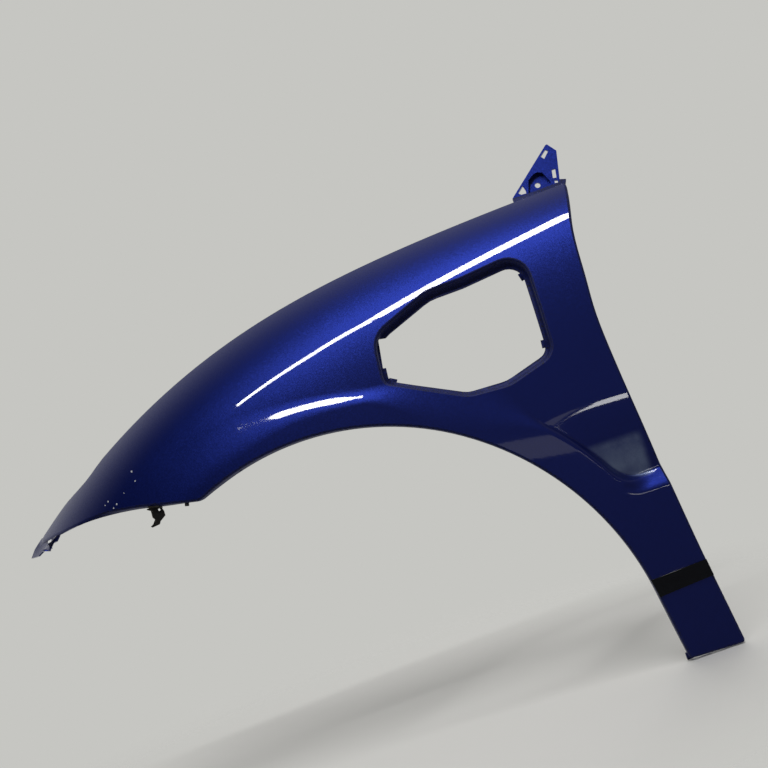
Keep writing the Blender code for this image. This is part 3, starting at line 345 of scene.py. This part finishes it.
def cut_finer(bm, mark, longest):
    """Halves one layer's long edges. The new points take its mark, and all go on its surface."""
    edges = [e for e in bm.edges
             if e.calc_length() > longest and any(face_is_on(f, mark) for f in e.link_faces)]
    bmesh.ops.subdivide_edges(bm, edges=edges, cuts=1)
    bmesh.ops.triangulate(bm, faces=[f for f in bm.faces if len(f.verts) > 3])
    marked = [v for v in bm.verts if v[layer] == mark]
    for v, place in zip(marked, put_on_face(coordinates(marked), DEPTH_BELOW[mark])):
        v.co = place
    return len(edges)


for mark, longest in LONGEST_EDGE.items():
    cuts = [cut_finer(skin, mark, longest) for _ in range(CUTTING_ROUNDS)]
    print("layer", mark, "edges cut in each round:", cuts)
print("fine skin:", len(skin.verts), "points,", len(skin.faces), "faces")


# %% Make a bmesh an object
SHARP_EDGE, PANEL_SHARP_EDGE = math.radians(36), math.radians(28)


def finished_piece(name, bm, materials, slot, *nodes, smooth_below=SHARP_EDGE):
    """A bmesh as a piece that rides on the body and stands for CAD nodes."""
    mesh = bpy.data.meshes.new(name)
    bm.to_mesh(mesh)
    bm.free()
    mesh.shade_smooth()
    mesh.set_sharp_from_angle(angle=smooth_below)
    piece = bpy.data.objects.new(name, mesh)
    bpy.context.scene.collection.objects.link(piece)
    for material in materials:
        mesh.materials.append(material)
    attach(piece, "root")
    if nodes:
        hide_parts(*nodes)
    return piece


# %% [markdown]
# ## Finishes
#
# Every finish is a small network of nodes. One helper adds a node with its settings and links,
# and one turns the colours, which are written as sRGB hex values, into the linear numbers that
# the shader works with.

# %% Helpers for colours and nodes
def linear(hex_colour):
    """An sRGB hex colour as linear RGBA."""
    channels = [int(hex_colour[k:k + 2], 16) / 255 for k in (1, 3, 5)]
    return tuple(c / 12.92 if c <= 0.04045 else ((c + 0.055) / 1.055) ** 2.4
                 for c in channels) + (1.0,)


def new_finish(name, base, roughness, metallic=0.0, **sockets):
    """A material with a Principled shader, and its node tree and shader."""
    material = bpy.data.materials.new(name)
    material.use_nodes = True
    tree = material.node_tree
    shader = tree.nodes["Principled BSDF"]
    shader.inputs["Base Color"].default_value = linear(base)
    shader.inputs["Roughness"].default_value = roughness
    shader.inputs["Metallic"].default_value = metallic
    for socket, value in sockets.items():
        shader.inputs[socket.replace("_", " ")].default_value = value
    return material, tree, shader


def add_node(tree, kind, links=(), values=(), **settings):
    """Adds a node: links are (input, output socket) pairs, values are (input, value) pairs."""
    node = tree.nodes.new(kind)
    for key, value in settings.items():
        setattr(node, key, value)
    for socket, value in values:
        node.inputs[socket].default_value = value
    for socket, source in links:
        tree.links.new(source, node.inputs[socket])
    return node


# %% [markdown]
# The paint is a metallic basecoat under clear lacquer. Aluminium flakes lie in the blue coat and
# throw light back in a broad glow round each lamp, and the lacquer over them adds a sharp gloss.
# Real flakes are 0.02 to 0.05 mm, too fine to show, so they are drawn 0.9 mm across.

# %% The blue metallic paint
BLUE, METALLIC = "#11257F", 0.85
FLAKE_SIZE, FLAKE_TILT = 0.0009, 0.12
PEEL_SIZE = 0.009       # orange peel: the slight waviness of sprayed lacquer

paint, tree, shader = new_finish("blue_metallic_basecoat_and_lacquer", BLUE, 0.44, METALLIC,
                                 Coat_Weight=1.0, Coat_Roughness=0.03, Coat_IOR=1.5)
place = add_node(tree, "ShaderNodeTexCoord").outputs["Object"]
flakes = add_node(tree, "ShaderNodeTexVoronoi", [("Vector", place)], [("Scale", 1 / FLAKE_SIZE)])
normal = add_node(tree, "ShaderNodeNewGeometry").outputs["Normal"]
tilt = add_node(tree, "ShaderNodeVectorMath", [(0, flakes.outputs["Color"])],
                [(1, (0.5, 0.5, 0.5))], operation="SUBTRACT")
tilt = add_node(tree, "ShaderNodeVectorMath", [(0, tilt.outputs[0])], [("Scale", FLAKE_TILT)],
                operation="SCALE")
tilted = add_node(tree, "ShaderNodeVectorMath", [(0, normal), (1, tilt.outputs[0])],
                  operation="ADD")
tilted = add_node(tree, "ShaderNodeVectorMath", [(0, tilted.outputs[0])], operation="NORMALIZE")
tree.links.new(tilted.outputs[0], shader.inputs["Normal"])
peel = add_node(tree, "ShaderNodeTexNoise", [("Vector", place)],
                [("Scale", 1 / PEEL_SIZE), ("Detail", 1.0)])
peel_bump = add_node(tree, "ShaderNodeBump", [("Height", peel.outputs["Fac"])],
                     [("Strength", 0.12), ("Distance", 0.00006)])
tree.links.new(peel_bump.outputs["Normal"], shader.inputs["Coat Normal"])
print("flakes across the panel:", round((cad_box[1][0] - cad_box[0][0]) / FLAKE_SIZE))

# %% [markdown]
# The panel is a used one. Stones have knocked a few small chips out of the nose, down to the pale
# primer. In the hollow behind the vent a pale, streaky haze is painted into the colour: a painted
# reflection of the floor on the hollow's down-turned slope.
# The chips are given as they lie on this panel, in millimetres from the wheel centre.

# %% Stone chips and the painted reflection in the hollow
CHIPS = [(-231, 435, 1.7), (-229, 421, 1.4), (-250, 410, 1.3), (-277, 406, 1.5),
         (-283, 402, 1.2), (-265, 399, 1.5), (-271, 395, 1.4)]      # x, z and radius
CHIP_NOTCH, CHIP_RAGGED, CHIP_EDGE = 0.0021, 0.0026, -0.0009
# The painted reflection is drawn as a streaky haze of this size.
HAZE_STREAK = 0.030

ragged = add_node(tree, "ShaderNodeTexNoise", [("Vector", place)],
                  [("Scale", 1 / CHIP_NOTCH), ("Detail", 3.0)])
edge = add_node(tree, "ShaderNodeMath", [(0, ragged.outputs["Fac"])], [(1, CHIP_RAGGED)],
                operation="MULTIPLY")
flat = add_node(tree, "ShaderNodeVectorMath", [(0, place)], [(1, (1, 0, 1))],
                operation="MULTIPLY").outputs[0]
deepest = None
for x, z, radius in CHIPS:
    middle = (x / 1000 + WHEEL_CENTRE[0], 0, z / 1000 + WHEEL_CENTRE[2])
    away = add_node(tree, "ShaderNodeVectorMath", [(0, flat)], [(1, middle)],
                    operation="DISTANCE").outputs["Value"]
    depth = add_node(tree, "ShaderNodeMath", [(1, away)], [(0, radius / 1000)],
                     operation="SUBTRACT").outputs[0]
    if deepest:
        depth = add_node(tree, "ShaderNodeMath", [(0, deepest), (1, depth)],
                         operation="MAXIMUM").outputs[0]
    deepest = depth
inside = add_node(tree, "ShaderNodeMath", [(0, deepest), (1, edge.outputs[0])],
                  operation="SUBTRACT")
chipped = add_node(tree, "ShaderNodeMath", [(0, inside.outputs[0])], [(1, CHIP_EDGE)],
                   operation="GREATER_THAN").outputs[0]

# Painted reflection: a pale haze of the floor, kept as a value on each point of the hollow.
painted_haze = add_node(tree, "ShaderNodeAttribute", attribute_name="painted_haze",
                attribute_type="GEOMETRY").outputs["Fac"]
streaky = add_node(tree, "ShaderNodeTexNoise", [("Vector", place)],
                   [("Scale", 1 / HAZE_STREAK), ("Detail", 4.0)])
film = add_node(tree, "ShaderNodeMath", [(0, painted_haze), (1, streaky.outputs["Fac"])],
                operation="MULTIPLY").outputs[0]

# Where the haze rises, the blue turns into the pale colour of the painted floor reflection.
blue_or_painted_haze = add_node(tree, "ShaderNodeMix", [("Factor", film)],
                        [("A", linear(BLUE)), ("B", linear("#A2B6CC"))], data_type="RGBA")
colour = add_node(tree, "ShaderNodeMix",
                  [("Factor", chipped), ("A", blue_or_painted_haze.outputs["Result"])],
                  [("B", linear("#DDE0E4"))], data_type="RGBA")
tree.links.new(colour.outputs["Result"], shader.inputs["Base Color"])
# Chips and the painted reflection both take the metal out of the paint.
covered = add_node(tree, "ShaderNodeMath", [(0, chipped), (1, film)],
                   operation="MAXIMUM").outputs[0]
metal = add_node(tree, "ShaderNodeMapRange", [("Value", covered)],
                 [("To Min", METALLIC), ("To Max", 0.0)])
tree.links.new(metal.outputs[0], shader.inputs["Metallic"])
lacquer = add_node(tree, "ShaderNodeMapRange", [("Value", chipped)],
                   [("To Min", 1.0), ("To Max", 0.0)])
tree.links.new(lacquer.outputs[0], shader.inputs["Coat Weight"])
print("chips:", len(CHIPS), "nodes in the paint:", len(tree.nodes))

# %% [markdown]
# Spray reaches the turned edges and the return of the vent only at a slant. The blue lies there as
# a thin, dry coat that was never lacquered: dull, a little rough, with the black plastic showing
# through in specks.

# %% Thin paint on the turned edges
DRY_BLUE, BARE_BLACK = "#12206A", "#15161B"
SPECK_SIZE = 0.0016      # real specks are finer than a picture point, so they are drawn coarser

dry, tree, shader = new_finish("dry_blue_basecoat_without_lacquer", DRY_BLUE, 0.58, 0.3)
place = add_node(tree, "ShaderNodeTexCoord").outputs["Object"]
specks = add_node(tree, "ShaderNodeTexNoise", [("Vector", place)],
                  [("Scale", 1 / SPECK_SIZE), ("Detail", 2.0)])
thin = add_node(tree, "ShaderNodeMapRange", [("Value", specks.outputs["Fac"])],
                [("From Min", 0.46), ("From Max", 0.70)], interpolation_type="SMOOTHSTEP")
colour = add_node(tree, "ShaderNodeMix", [("Factor", thin.outputs[0])],
                  [("A", linear(DRY_BLUE)), ("B", linear(BARE_BLACK))], data_type="RGBA")
tree.links.new(colour.outputs["Result"], shader.inputs["Base Color"])
dry_bump = add_node(tree, "ShaderNodeBump", [("Height", specks.outputs["Fac"])],
                    [("Strength", 0.3), ("Distance", 0.00006)])
tree.links.new(dry_bump.outputs["Normal"], shader.inputs["Normal"])
print(dry.name, "nodes:", len(tree.nodes))

# %% [markdown]
# The panel is moulded in black polypropylene, and only what faces the spray gun is painted. The
# inner side stays bare: a dull, finely grained black, with a blue mist where spray drifted past
# the edges.

# %% The bare inner side
PLASTIC_BLACK = "#17171A"
GRAIN_SIZE = 0.0012      # the mould's grain is about 0.3 mm, drawn coarser so that it shows
MIST_PATCH, MIST_SPOT = 0.045, 0.0011

bare, tree, shader = new_finish("bare_black_polypropylene", PLASTIC_BLACK, 0.55)
place = add_node(tree, "ShaderNodeTexCoord").outputs["Object"]
drift = add_node(tree, "ShaderNodeTexNoise", [("Vector", place)],
                 [("Scale", 1 / MIST_PATCH), ("Detail", 3.0)])
speckle = add_node(tree, "ShaderNodeTexNoise", [("Vector", place)],
                   [("Scale", 1 / MIST_SPOT), ("Detail", 1.0)])
amount = add_node(tree, "ShaderNodeMapRange", [("Value", drift.outputs["Fac"])],
                  [("From Min", 0.50), ("From Max", 0.74), ("To Max", 0.55)],
                  interpolation_type="SMOOTHSTEP")
mist = add_node(tree, "ShaderNodeMath", [(0, amount.outputs[0]), (1, speckle.outputs["Fac"])],
                operation="MULTIPLY")
colour = add_node(tree, "ShaderNodeMix", [("Factor", mist.outputs[0])],
                  [("A", linear(PLASTIC_BLACK)), ("B", linear("#1B2C70"))], data_type="RGBA")
tree.links.new(colour.outputs["Result"], shader.inputs["Base Color"])
grain = add_node(tree, "ShaderNodeTexVoronoi", [("Vector", place)], [("Scale", 1 / GRAIN_SIZE)])
grain_bump = add_node(tree, "ShaderNodeBump", [("Height", grain.outputs["Distance"])],
                      [("Strength", 0.35), ("Distance", 0.00008)])
tree.links.new(grain_bump.outputs["Normal"], shader.inputs["Normal"])
worn = add_node(tree, "ShaderNodeMapRange", [("Value", drift.outputs["Fac"])],
                [("To Min", 0.44), ("To Max", 0.66)])
tree.links.new(worn.outputs[0], shader.inputs["Roughness"])
print(bare.name, "nodes:", len(tree.nodes))

# %% [markdown]
# The strip on the leg is a moulded acrylic with a polished black face. Wiping has left hair-fine
# marks along it, which show as slightly duller streaks in the gloss.

# %% Polished black strip
WIPE_LENGTH, WIPE_WIDTH = 0.020, 0.0007
TINT_PATCH = 0.014

gloss_black, tree, shader = new_finish("polished_black_acrylic", "#08090C", 0.10)
place = add_node(tree, "ShaderNodeTexCoord").outputs["Object"]
along = add_node(tree, "ShaderNodeMapping", [("Vector", place)],
                 [("Scale", (1 / WIPE_LENGTH, 1 / WIPE_WIDTH, 1 / WIPE_WIDTH))])
wipes = add_node(tree, "ShaderNodeTexNoise", [("Vector", along.outputs[0])],
                 [("Scale", 1.0), ("Detail", 2.0)])
duller = add_node(tree, "ShaderNodeMapRange", [("Value", wipes.outputs["Fac"])],
                  [("From Min", 0.4), ("From Max", 0.7), ("To Min", 0.06), ("To Max", 0.20)])
tree.links.new(duller.outputs[0], shader.inputs["Roughness"])
clouds = add_node(tree, "ShaderNodeTexNoise", [("Vector", place)],
                  [("Scale", 1 / TINT_PATCH), ("Detail", 2.0)])
tint = add_node(tree, "ShaderNodeMix", [("Factor", clouds.outputs["Fac"])],
                [("A", linear("#06070A")), ("B", linear("#0D0F14"))], data_type="RGBA")
tree.links.new(tint.outputs["Result"], shader.inputs["Base Color"])
print(gloss_black.name, "nodes:", len(tree.nodes))

# %% [markdown]
# The bracket and the clip are unpainted mouldings that live behind the bumper. Road film has
# greyed them in patches, and their surface has the mould's grain.

# %% Moulded plastics of the small parts
FILM_PATCH = 0.012


def moulded_plastic(name, clean, dusty, roughness, grain_size):
    """Grained plastic, greyed in patches by road film."""
    material, tree, shader = new_finish(name, clean, roughness)
    place = add_node(tree, "ShaderNodeTexCoord").outputs["Object"]
    patches = add_node(tree, "ShaderNodeTexNoise", [("Vector", place)],
                       [("Scale", 1 / FILM_PATCH), ("Detail", 4.0)])
    share = add_node(tree, "ShaderNodeMapRange", [("Value", patches.outputs["Fac"])],
                     [("From Min", 0.42), ("From Max", 0.72)], interpolation_type="SMOOTHSTEP")
    colour = add_node(tree, "ShaderNodeMix", [("Factor", share.outputs[0])],
                      [("A", linear(clean)), ("B", linear(dusty))], data_type="RGBA")
    tree.links.new(colour.outputs["Result"], shader.inputs["Base Color"])
    grain = add_node(tree, "ShaderNodeTexVoronoi", [("Vector", place)], [("Scale", 1 / grain_size)])
    bump = add_node(tree, "ShaderNodeBump", [("Height", grain.outputs["Distance"])],
                    [("Strength", 0.3), ("Distance", 0.00006)])
    tree.links.new(bump.outputs["Normal"], shader.inputs["Normal"])
    return material


plastic = moulded_plastic("black_moulded_polypropylene", "#171512", "#38332B", 0.52, 0.0009)
clip_plastic = moulded_plastic("grey_moulded_nylon", "#2B2A2A", "#474440", 0.46, 0.0007)
print("finishes so far:", len(bpy.data.materials))

# %% [markdown]
# ## The four pieces
#
# The painted face takes its normals straight from the formula, so its highlights run as smoothly
# as on the mould. Faces that look into the car stay bare, and the turned edges take the dry coat.
# The chips are in the paint itself, and the painted reflection of the floor in the hollow is a value
# kept on each point.

# %% The panel
TIP_STARTS, TIP_FACES_OUT = -0.330, -0.2
FACES_IN = 0.6
BRACKET_GAP = 0.002     # the bracket starts this far above the bonnet edge

panel = finished_piece("fender_panel", skin, [paint, bare, dry], "blue_metallic_paint",
                       "fender_skin", smooth_below=PANEL_SHARP_EDGE)
mesh = panel.data
marks = np.empty(len(mesh.vertices), int)
mesh.attributes["layer"].data.foreach_get("value", marks)
places = np.empty(3 * len(mesh.vertices))
mesh.vertices.foreach_get("co", places)
local = places.reshape(-1, 3) - WHEEL_CENTRE
corners = np.empty(len(mesh.loops), int)
mesh.loops.foreach_get("vertex_index", corners)
corners = corners.reshape(-1, 3)

painted = (marks[corners] == OUTER).all(axis=1)
normals = face_normal(local[:, 0], local[:, 2])[corners] * painted[:, None, None]

inward = np.array([polygon.normal.y for polygon in mesh.polygons])
middle = local[corners].mean(axis=1)
in_bracket = middle[:, 2] > hood_height(middle[:, 0]) + BRACKET_GAP
is_bare = (marks[corners] == INNER).all(axis=1) | ((inward > FACES_IN) & ~in_bracket & ~painted)
tip_front = (middle[:, 0] < TIP_STARTS) & (inward < TIP_FACES_OUT)
is_dry = ~painted & ~is_bare & ~in_bracket & ~tip_front
finish = np.where(is_bare, 1, np.where(is_dry, 2, 0))
mesh.polygons.foreach_set("material_index", finish.astype(np.int32))
mesh.polygons.foreach_set("use_smooth", ~in_bracket | painted)
mesh.normals_split_custom_set(normals.reshape(-1, 3).tolist())
print("painted face:", int(painted.sum()), "bare:", int(is_bare.sum()),
      "dry edges:", int(is_dry.sum()), "of", len(mesh.polygons), "triangles")


# %% Where the painted reflection lies
# The painted reflection of the floor covers the hollow behind the vent, above the ledge.
PAINTED_HAZE_STRENGTH = 0.78
HAZE_X, HAZE_Z, HAZE_SOFT = (0.362, 0.448), (0.198, 0.270), 0.012
HAZE_ABOVE_LEDGE = 0.004


def soft_box(value, low, high):
    """1 between low and high, with soft ends."""
    return smoothstep((value - low) / HAZE_SOFT) * smoothstep((high - value) / HAZE_SOFT)


x, z = local[:, 0], local[:, 2]
lie = soft_box(x, *HAZE_X) * soft_box(z, *HAZE_Z) * (marks == OUTER)
lie = lie * smoothstep((band_distance(x, z) - HAZE_ABOVE_LEDGE) / HAZE_ABOVE_LEDGE)
painted_haze_values = (lie * PAINTED_HAZE_STRENGTH).astype(np.float32)
mesh.attributes.new("painted_haze", "FLOAT", "POINT").data.foreach_set("value", painted_haze_values)
mesh.attributes.remove(mesh.attributes["layer"])
print("points with dust:", int((lie > 0.5).sum()))


# %% The small pieces, with rounded edges
FLAT_WITHIN, ROUNDED_ABOVE = math.radians(1.0), math.radians(50)
GLOSS_FACE = 0.97       # how closely a face follows the painted side to shine as one with it


def rounded(bm, radius):
    """Joins flat triangles into whole faces and rounds the sharp edges between them."""
    bmesh.ops.dissolve_limit(bm, angle_limit=FLAT_WITHIN, verts=bm.verts, edges=bm.edges)
    sharp = [e for e in bm.edges
             if len(e.link_faces) == 2 and e.calc_face_angle() > ROUNDED_ABOVE]
    bmesh.ops.bevel(bm, geom=sharp, affect="EDGES", offset=radius, segments=2, profile=0.5,
                    material=-1, clamp_overlap=True)
    bmesh.ops.triangulate(bm, faces=[f for f in bm.faces if len(f.verts) > 4])
    return bm


strip = finished_piece("trim_strip", rounded(merged_copy("badge_strip"), 0.0004), [gloss_black],
                       "black_gloss_trim", "badge_strip")
gloss = []
for polygon in strip.data.polygons:
    for k in polygon.vertices:
        x, _, z = np.array(strip.data.vertices[k].co) - WHEEL_CENTRE
        out = face_normal(np.array([x]), np.array([z]))[0]
        gloss.append(out if Vector(out).dot(polygon.normal) > GLOSS_FACE else (0, 0, 0))
strip.data.normals_split_custom_set(gloss)

bracket = finished_piece("edge_bracket", rounded(merged_copy("bumper_bracket"), 0.0003),
                         [plastic], "black_moulded_plastic", "bumper_bracket")
clip = finished_piece("edge_clip", rounded(merged_copy("liner_clip"), 0.0003), [clip_plastic],
                      "grey_clip_plastic", "liner_clip")
for piece in (strip, bracket, clip):
    print(piece.name, "faces:", len(piece.data.polygons))

# %% [markdown]
# ## The studio
#
# A pale floor under the foot, and a surround that is pale behind the panel and darker ahead of it,
# where the camera stands. The lamps overhead make the long white line on the shoulder, the two
# panes of a far window make the glints behind the vent, and a lamp behind lights the inner side.

# %% Floor
FLOOR_RADIUS, FLOOR_X, FLOOR_DROP = 3.0, -0.39, 0.68
FADE_FROM, FADE_TO = 0.35, 0.9
BELOW_FOOT = 0.001

floor_bm = bmesh.new()
bmesh.ops.create_circle(floor_bm, cap_ends=True, segments=96, radius=FLOOR_RADIUS,
                        matrix=Matrix.Translation((FLOOR_X, 0, cad_box[0][2] - BELOW_FOOT)))
floor_mesh = bpy.data.meshes.new("floor")
floor_bm.to_mesh(floor_mesh)
floor_bm.free()
floor = bpy.data.objects.new("floor", floor_mesh)
bpy.context.scene.collection.objects.link(floor)
floor_finish, tree, shader = new_finish("matt_pale_floor", "#ECEBE7", 0.9)
place = add_node(tree, "ShaderNodeTexCoord").outputs["Object"]
middle = add_node(tree, "ShaderNodeMapping", [("Vector", place)],
                  [("Location", (-FLOOR_X, 0, FLOOR_DROP))])
away = add_node(tree, "ShaderNodeVectorMath", [(0, middle.outputs[0])], operation="LENGTH")
fade = add_node(tree, "ShaderNodeMapRange", [("Value", away.outputs["Value"])],
                [("From Min", FADE_FROM), ("From Max", FADE_TO)], interpolation_type="SMOOTHSTEP")
clear = add_node(tree, "ShaderNodeBsdfTransparent")
mixed = add_node(tree, "ShaderNodeMixShader",
                 [(0, fade.outputs[0]), (1, shader.outputs[0]), (2, clear.outputs[0])])
tree.links.new(mixed.outputs[0], tree.nodes["Material Output"].inputs["Surface"])
floor_mesh.materials.append(floor_finish)
floor.visible_glossy = False      # the photographed paint mirrors a dark room, and no floor
print("floor height, m:", round(cad_box[0][2] - BELOW_FOOT, 4))

# %% Surround
PALE_WALL = "#C6C6C2"

world = bpy.data.worlds.new("studio")
bpy.context.scene.world = world
world.use_nodes = True
tree = world.node_tree
background = tree.nodes["Background"]
towards = add_node(tree, "ShaderNodeTexCoord").outputs["Generated"]
split = add_node(tree, "ShaderNodeSeparateXYZ", [(0, towards)])
behind = add_node(tree, "ShaderNodeMapRange", [("Value", split.outputs["Y"])],
                  [("From Min", -0.3), ("From Max", 1.0)], interpolation_type="SMOOTHSTEP")
sideways = add_node(tree, "ShaderNodeMapRange", [("Value", split.outputs["X"])],
                    [("From Min", -0.75), ("From Max", 0.05)], interpolation_type="SMOOTHSTEP")
ahead = add_node(tree, "ShaderNodeMix", [(0, sideways.outputs[0])],
                 [("A", linear("#222224")), ("B", linear("#525256"))], data_type="RGBA")
room = add_node(tree, "ShaderNodeMix", [(0, behind.outputs[0]), ("A", ahead.outputs["Result"])],
                [("B", linear(PALE_WALL))], data_type="RGBA")
paths = add_node(tree, "ShaderNodeLightPath")
seen = add_node(tree, "ShaderNodeMix",
                [(0, paths.outputs["Is Camera Ray"]), ("A", room.outputs["Result"])],
                [("B", linear(PALE_WALL))], data_type="RGBA")
tree.links.new(seen.outputs["Result"], background.inputs["Color"])
print("nodes in the surround:", len(tree.nodes))

# %% Lamps
PHOTO_RIGHT = Vector((math.cos(LEAN_IN_PHOTO), 0, -math.sin(LEAN_IN_PHOTO)))
PHOTO_UP = Vector((math.sin(LEAN_IN_PHOTO), 0, math.cos(LEAN_IN_PHOTO)))
SHOULDER = Vector((-0.25, -0.11, -0.10))
FLANK = Vector((-0.10, -0.155, -0.34))


def photo_direction(right, depth, up):
    return PHOTO_RIGHT * right + Vector((0, depth, 0)) + PHOTO_UP * up


def strip_lamp(name, target, ends, width, power):
    """A rectangular lamp from one end to the other, both given from the target, which it faces."""
    a, b = [target + photo_direction(*end) for end in ends]
    data = bpy.data.lights.new(name, "AREA")
    data.shape = "RECTANGLE"
    data.size, data.size_y = (b - a).length, width
    data.energy = power
    lamp = bpy.data.objects.new(name, data)
    lamp.visible_camera = False
    bpy.context.scene.collection.objects.link(lamp)
    middle = (a + b) / 2
    along = (b - a).normalized()
    side = (middle - target).cross(along).normalized()
    turn = Matrix((along, side, along.cross(side))).transposed().to_4x4()
    lamp.matrix_world = Matrix.Translation(middle) @ turn
    print(name, "power per square metre:", round(power / data.size / width))
    return lamp


strip_lamp("tube_front", SHOULDER, [(-2.7, -2.5, 2.0), (-0.88, -1.70, 2.0)], 0.14, 27)
strip_lamp("tube_rear", SHOULDER, [(-0.88, -1.70, 2.0), (-0.10, -0.40, 2.0)], 0.14, 22)
strip_lamp("window_left_pane", FLANK, [(-0.10, -6.0, 0.50), (0.60, -6.0, 0.475)], 0.25, 0.3)
strip_lamp("window_right_pane", FLANK, [(0.68, -6.0, 0.472), (1.12, -6.0, 0.456)], 0.25, 3.4)
rear_fill = strip_lamp("rear_fill", FLANK, [(-0.9, 2.4, 0.9), (0.9, 2.4, 0.9)], 1.2, 24)
rear_fill.visible_glossy = False
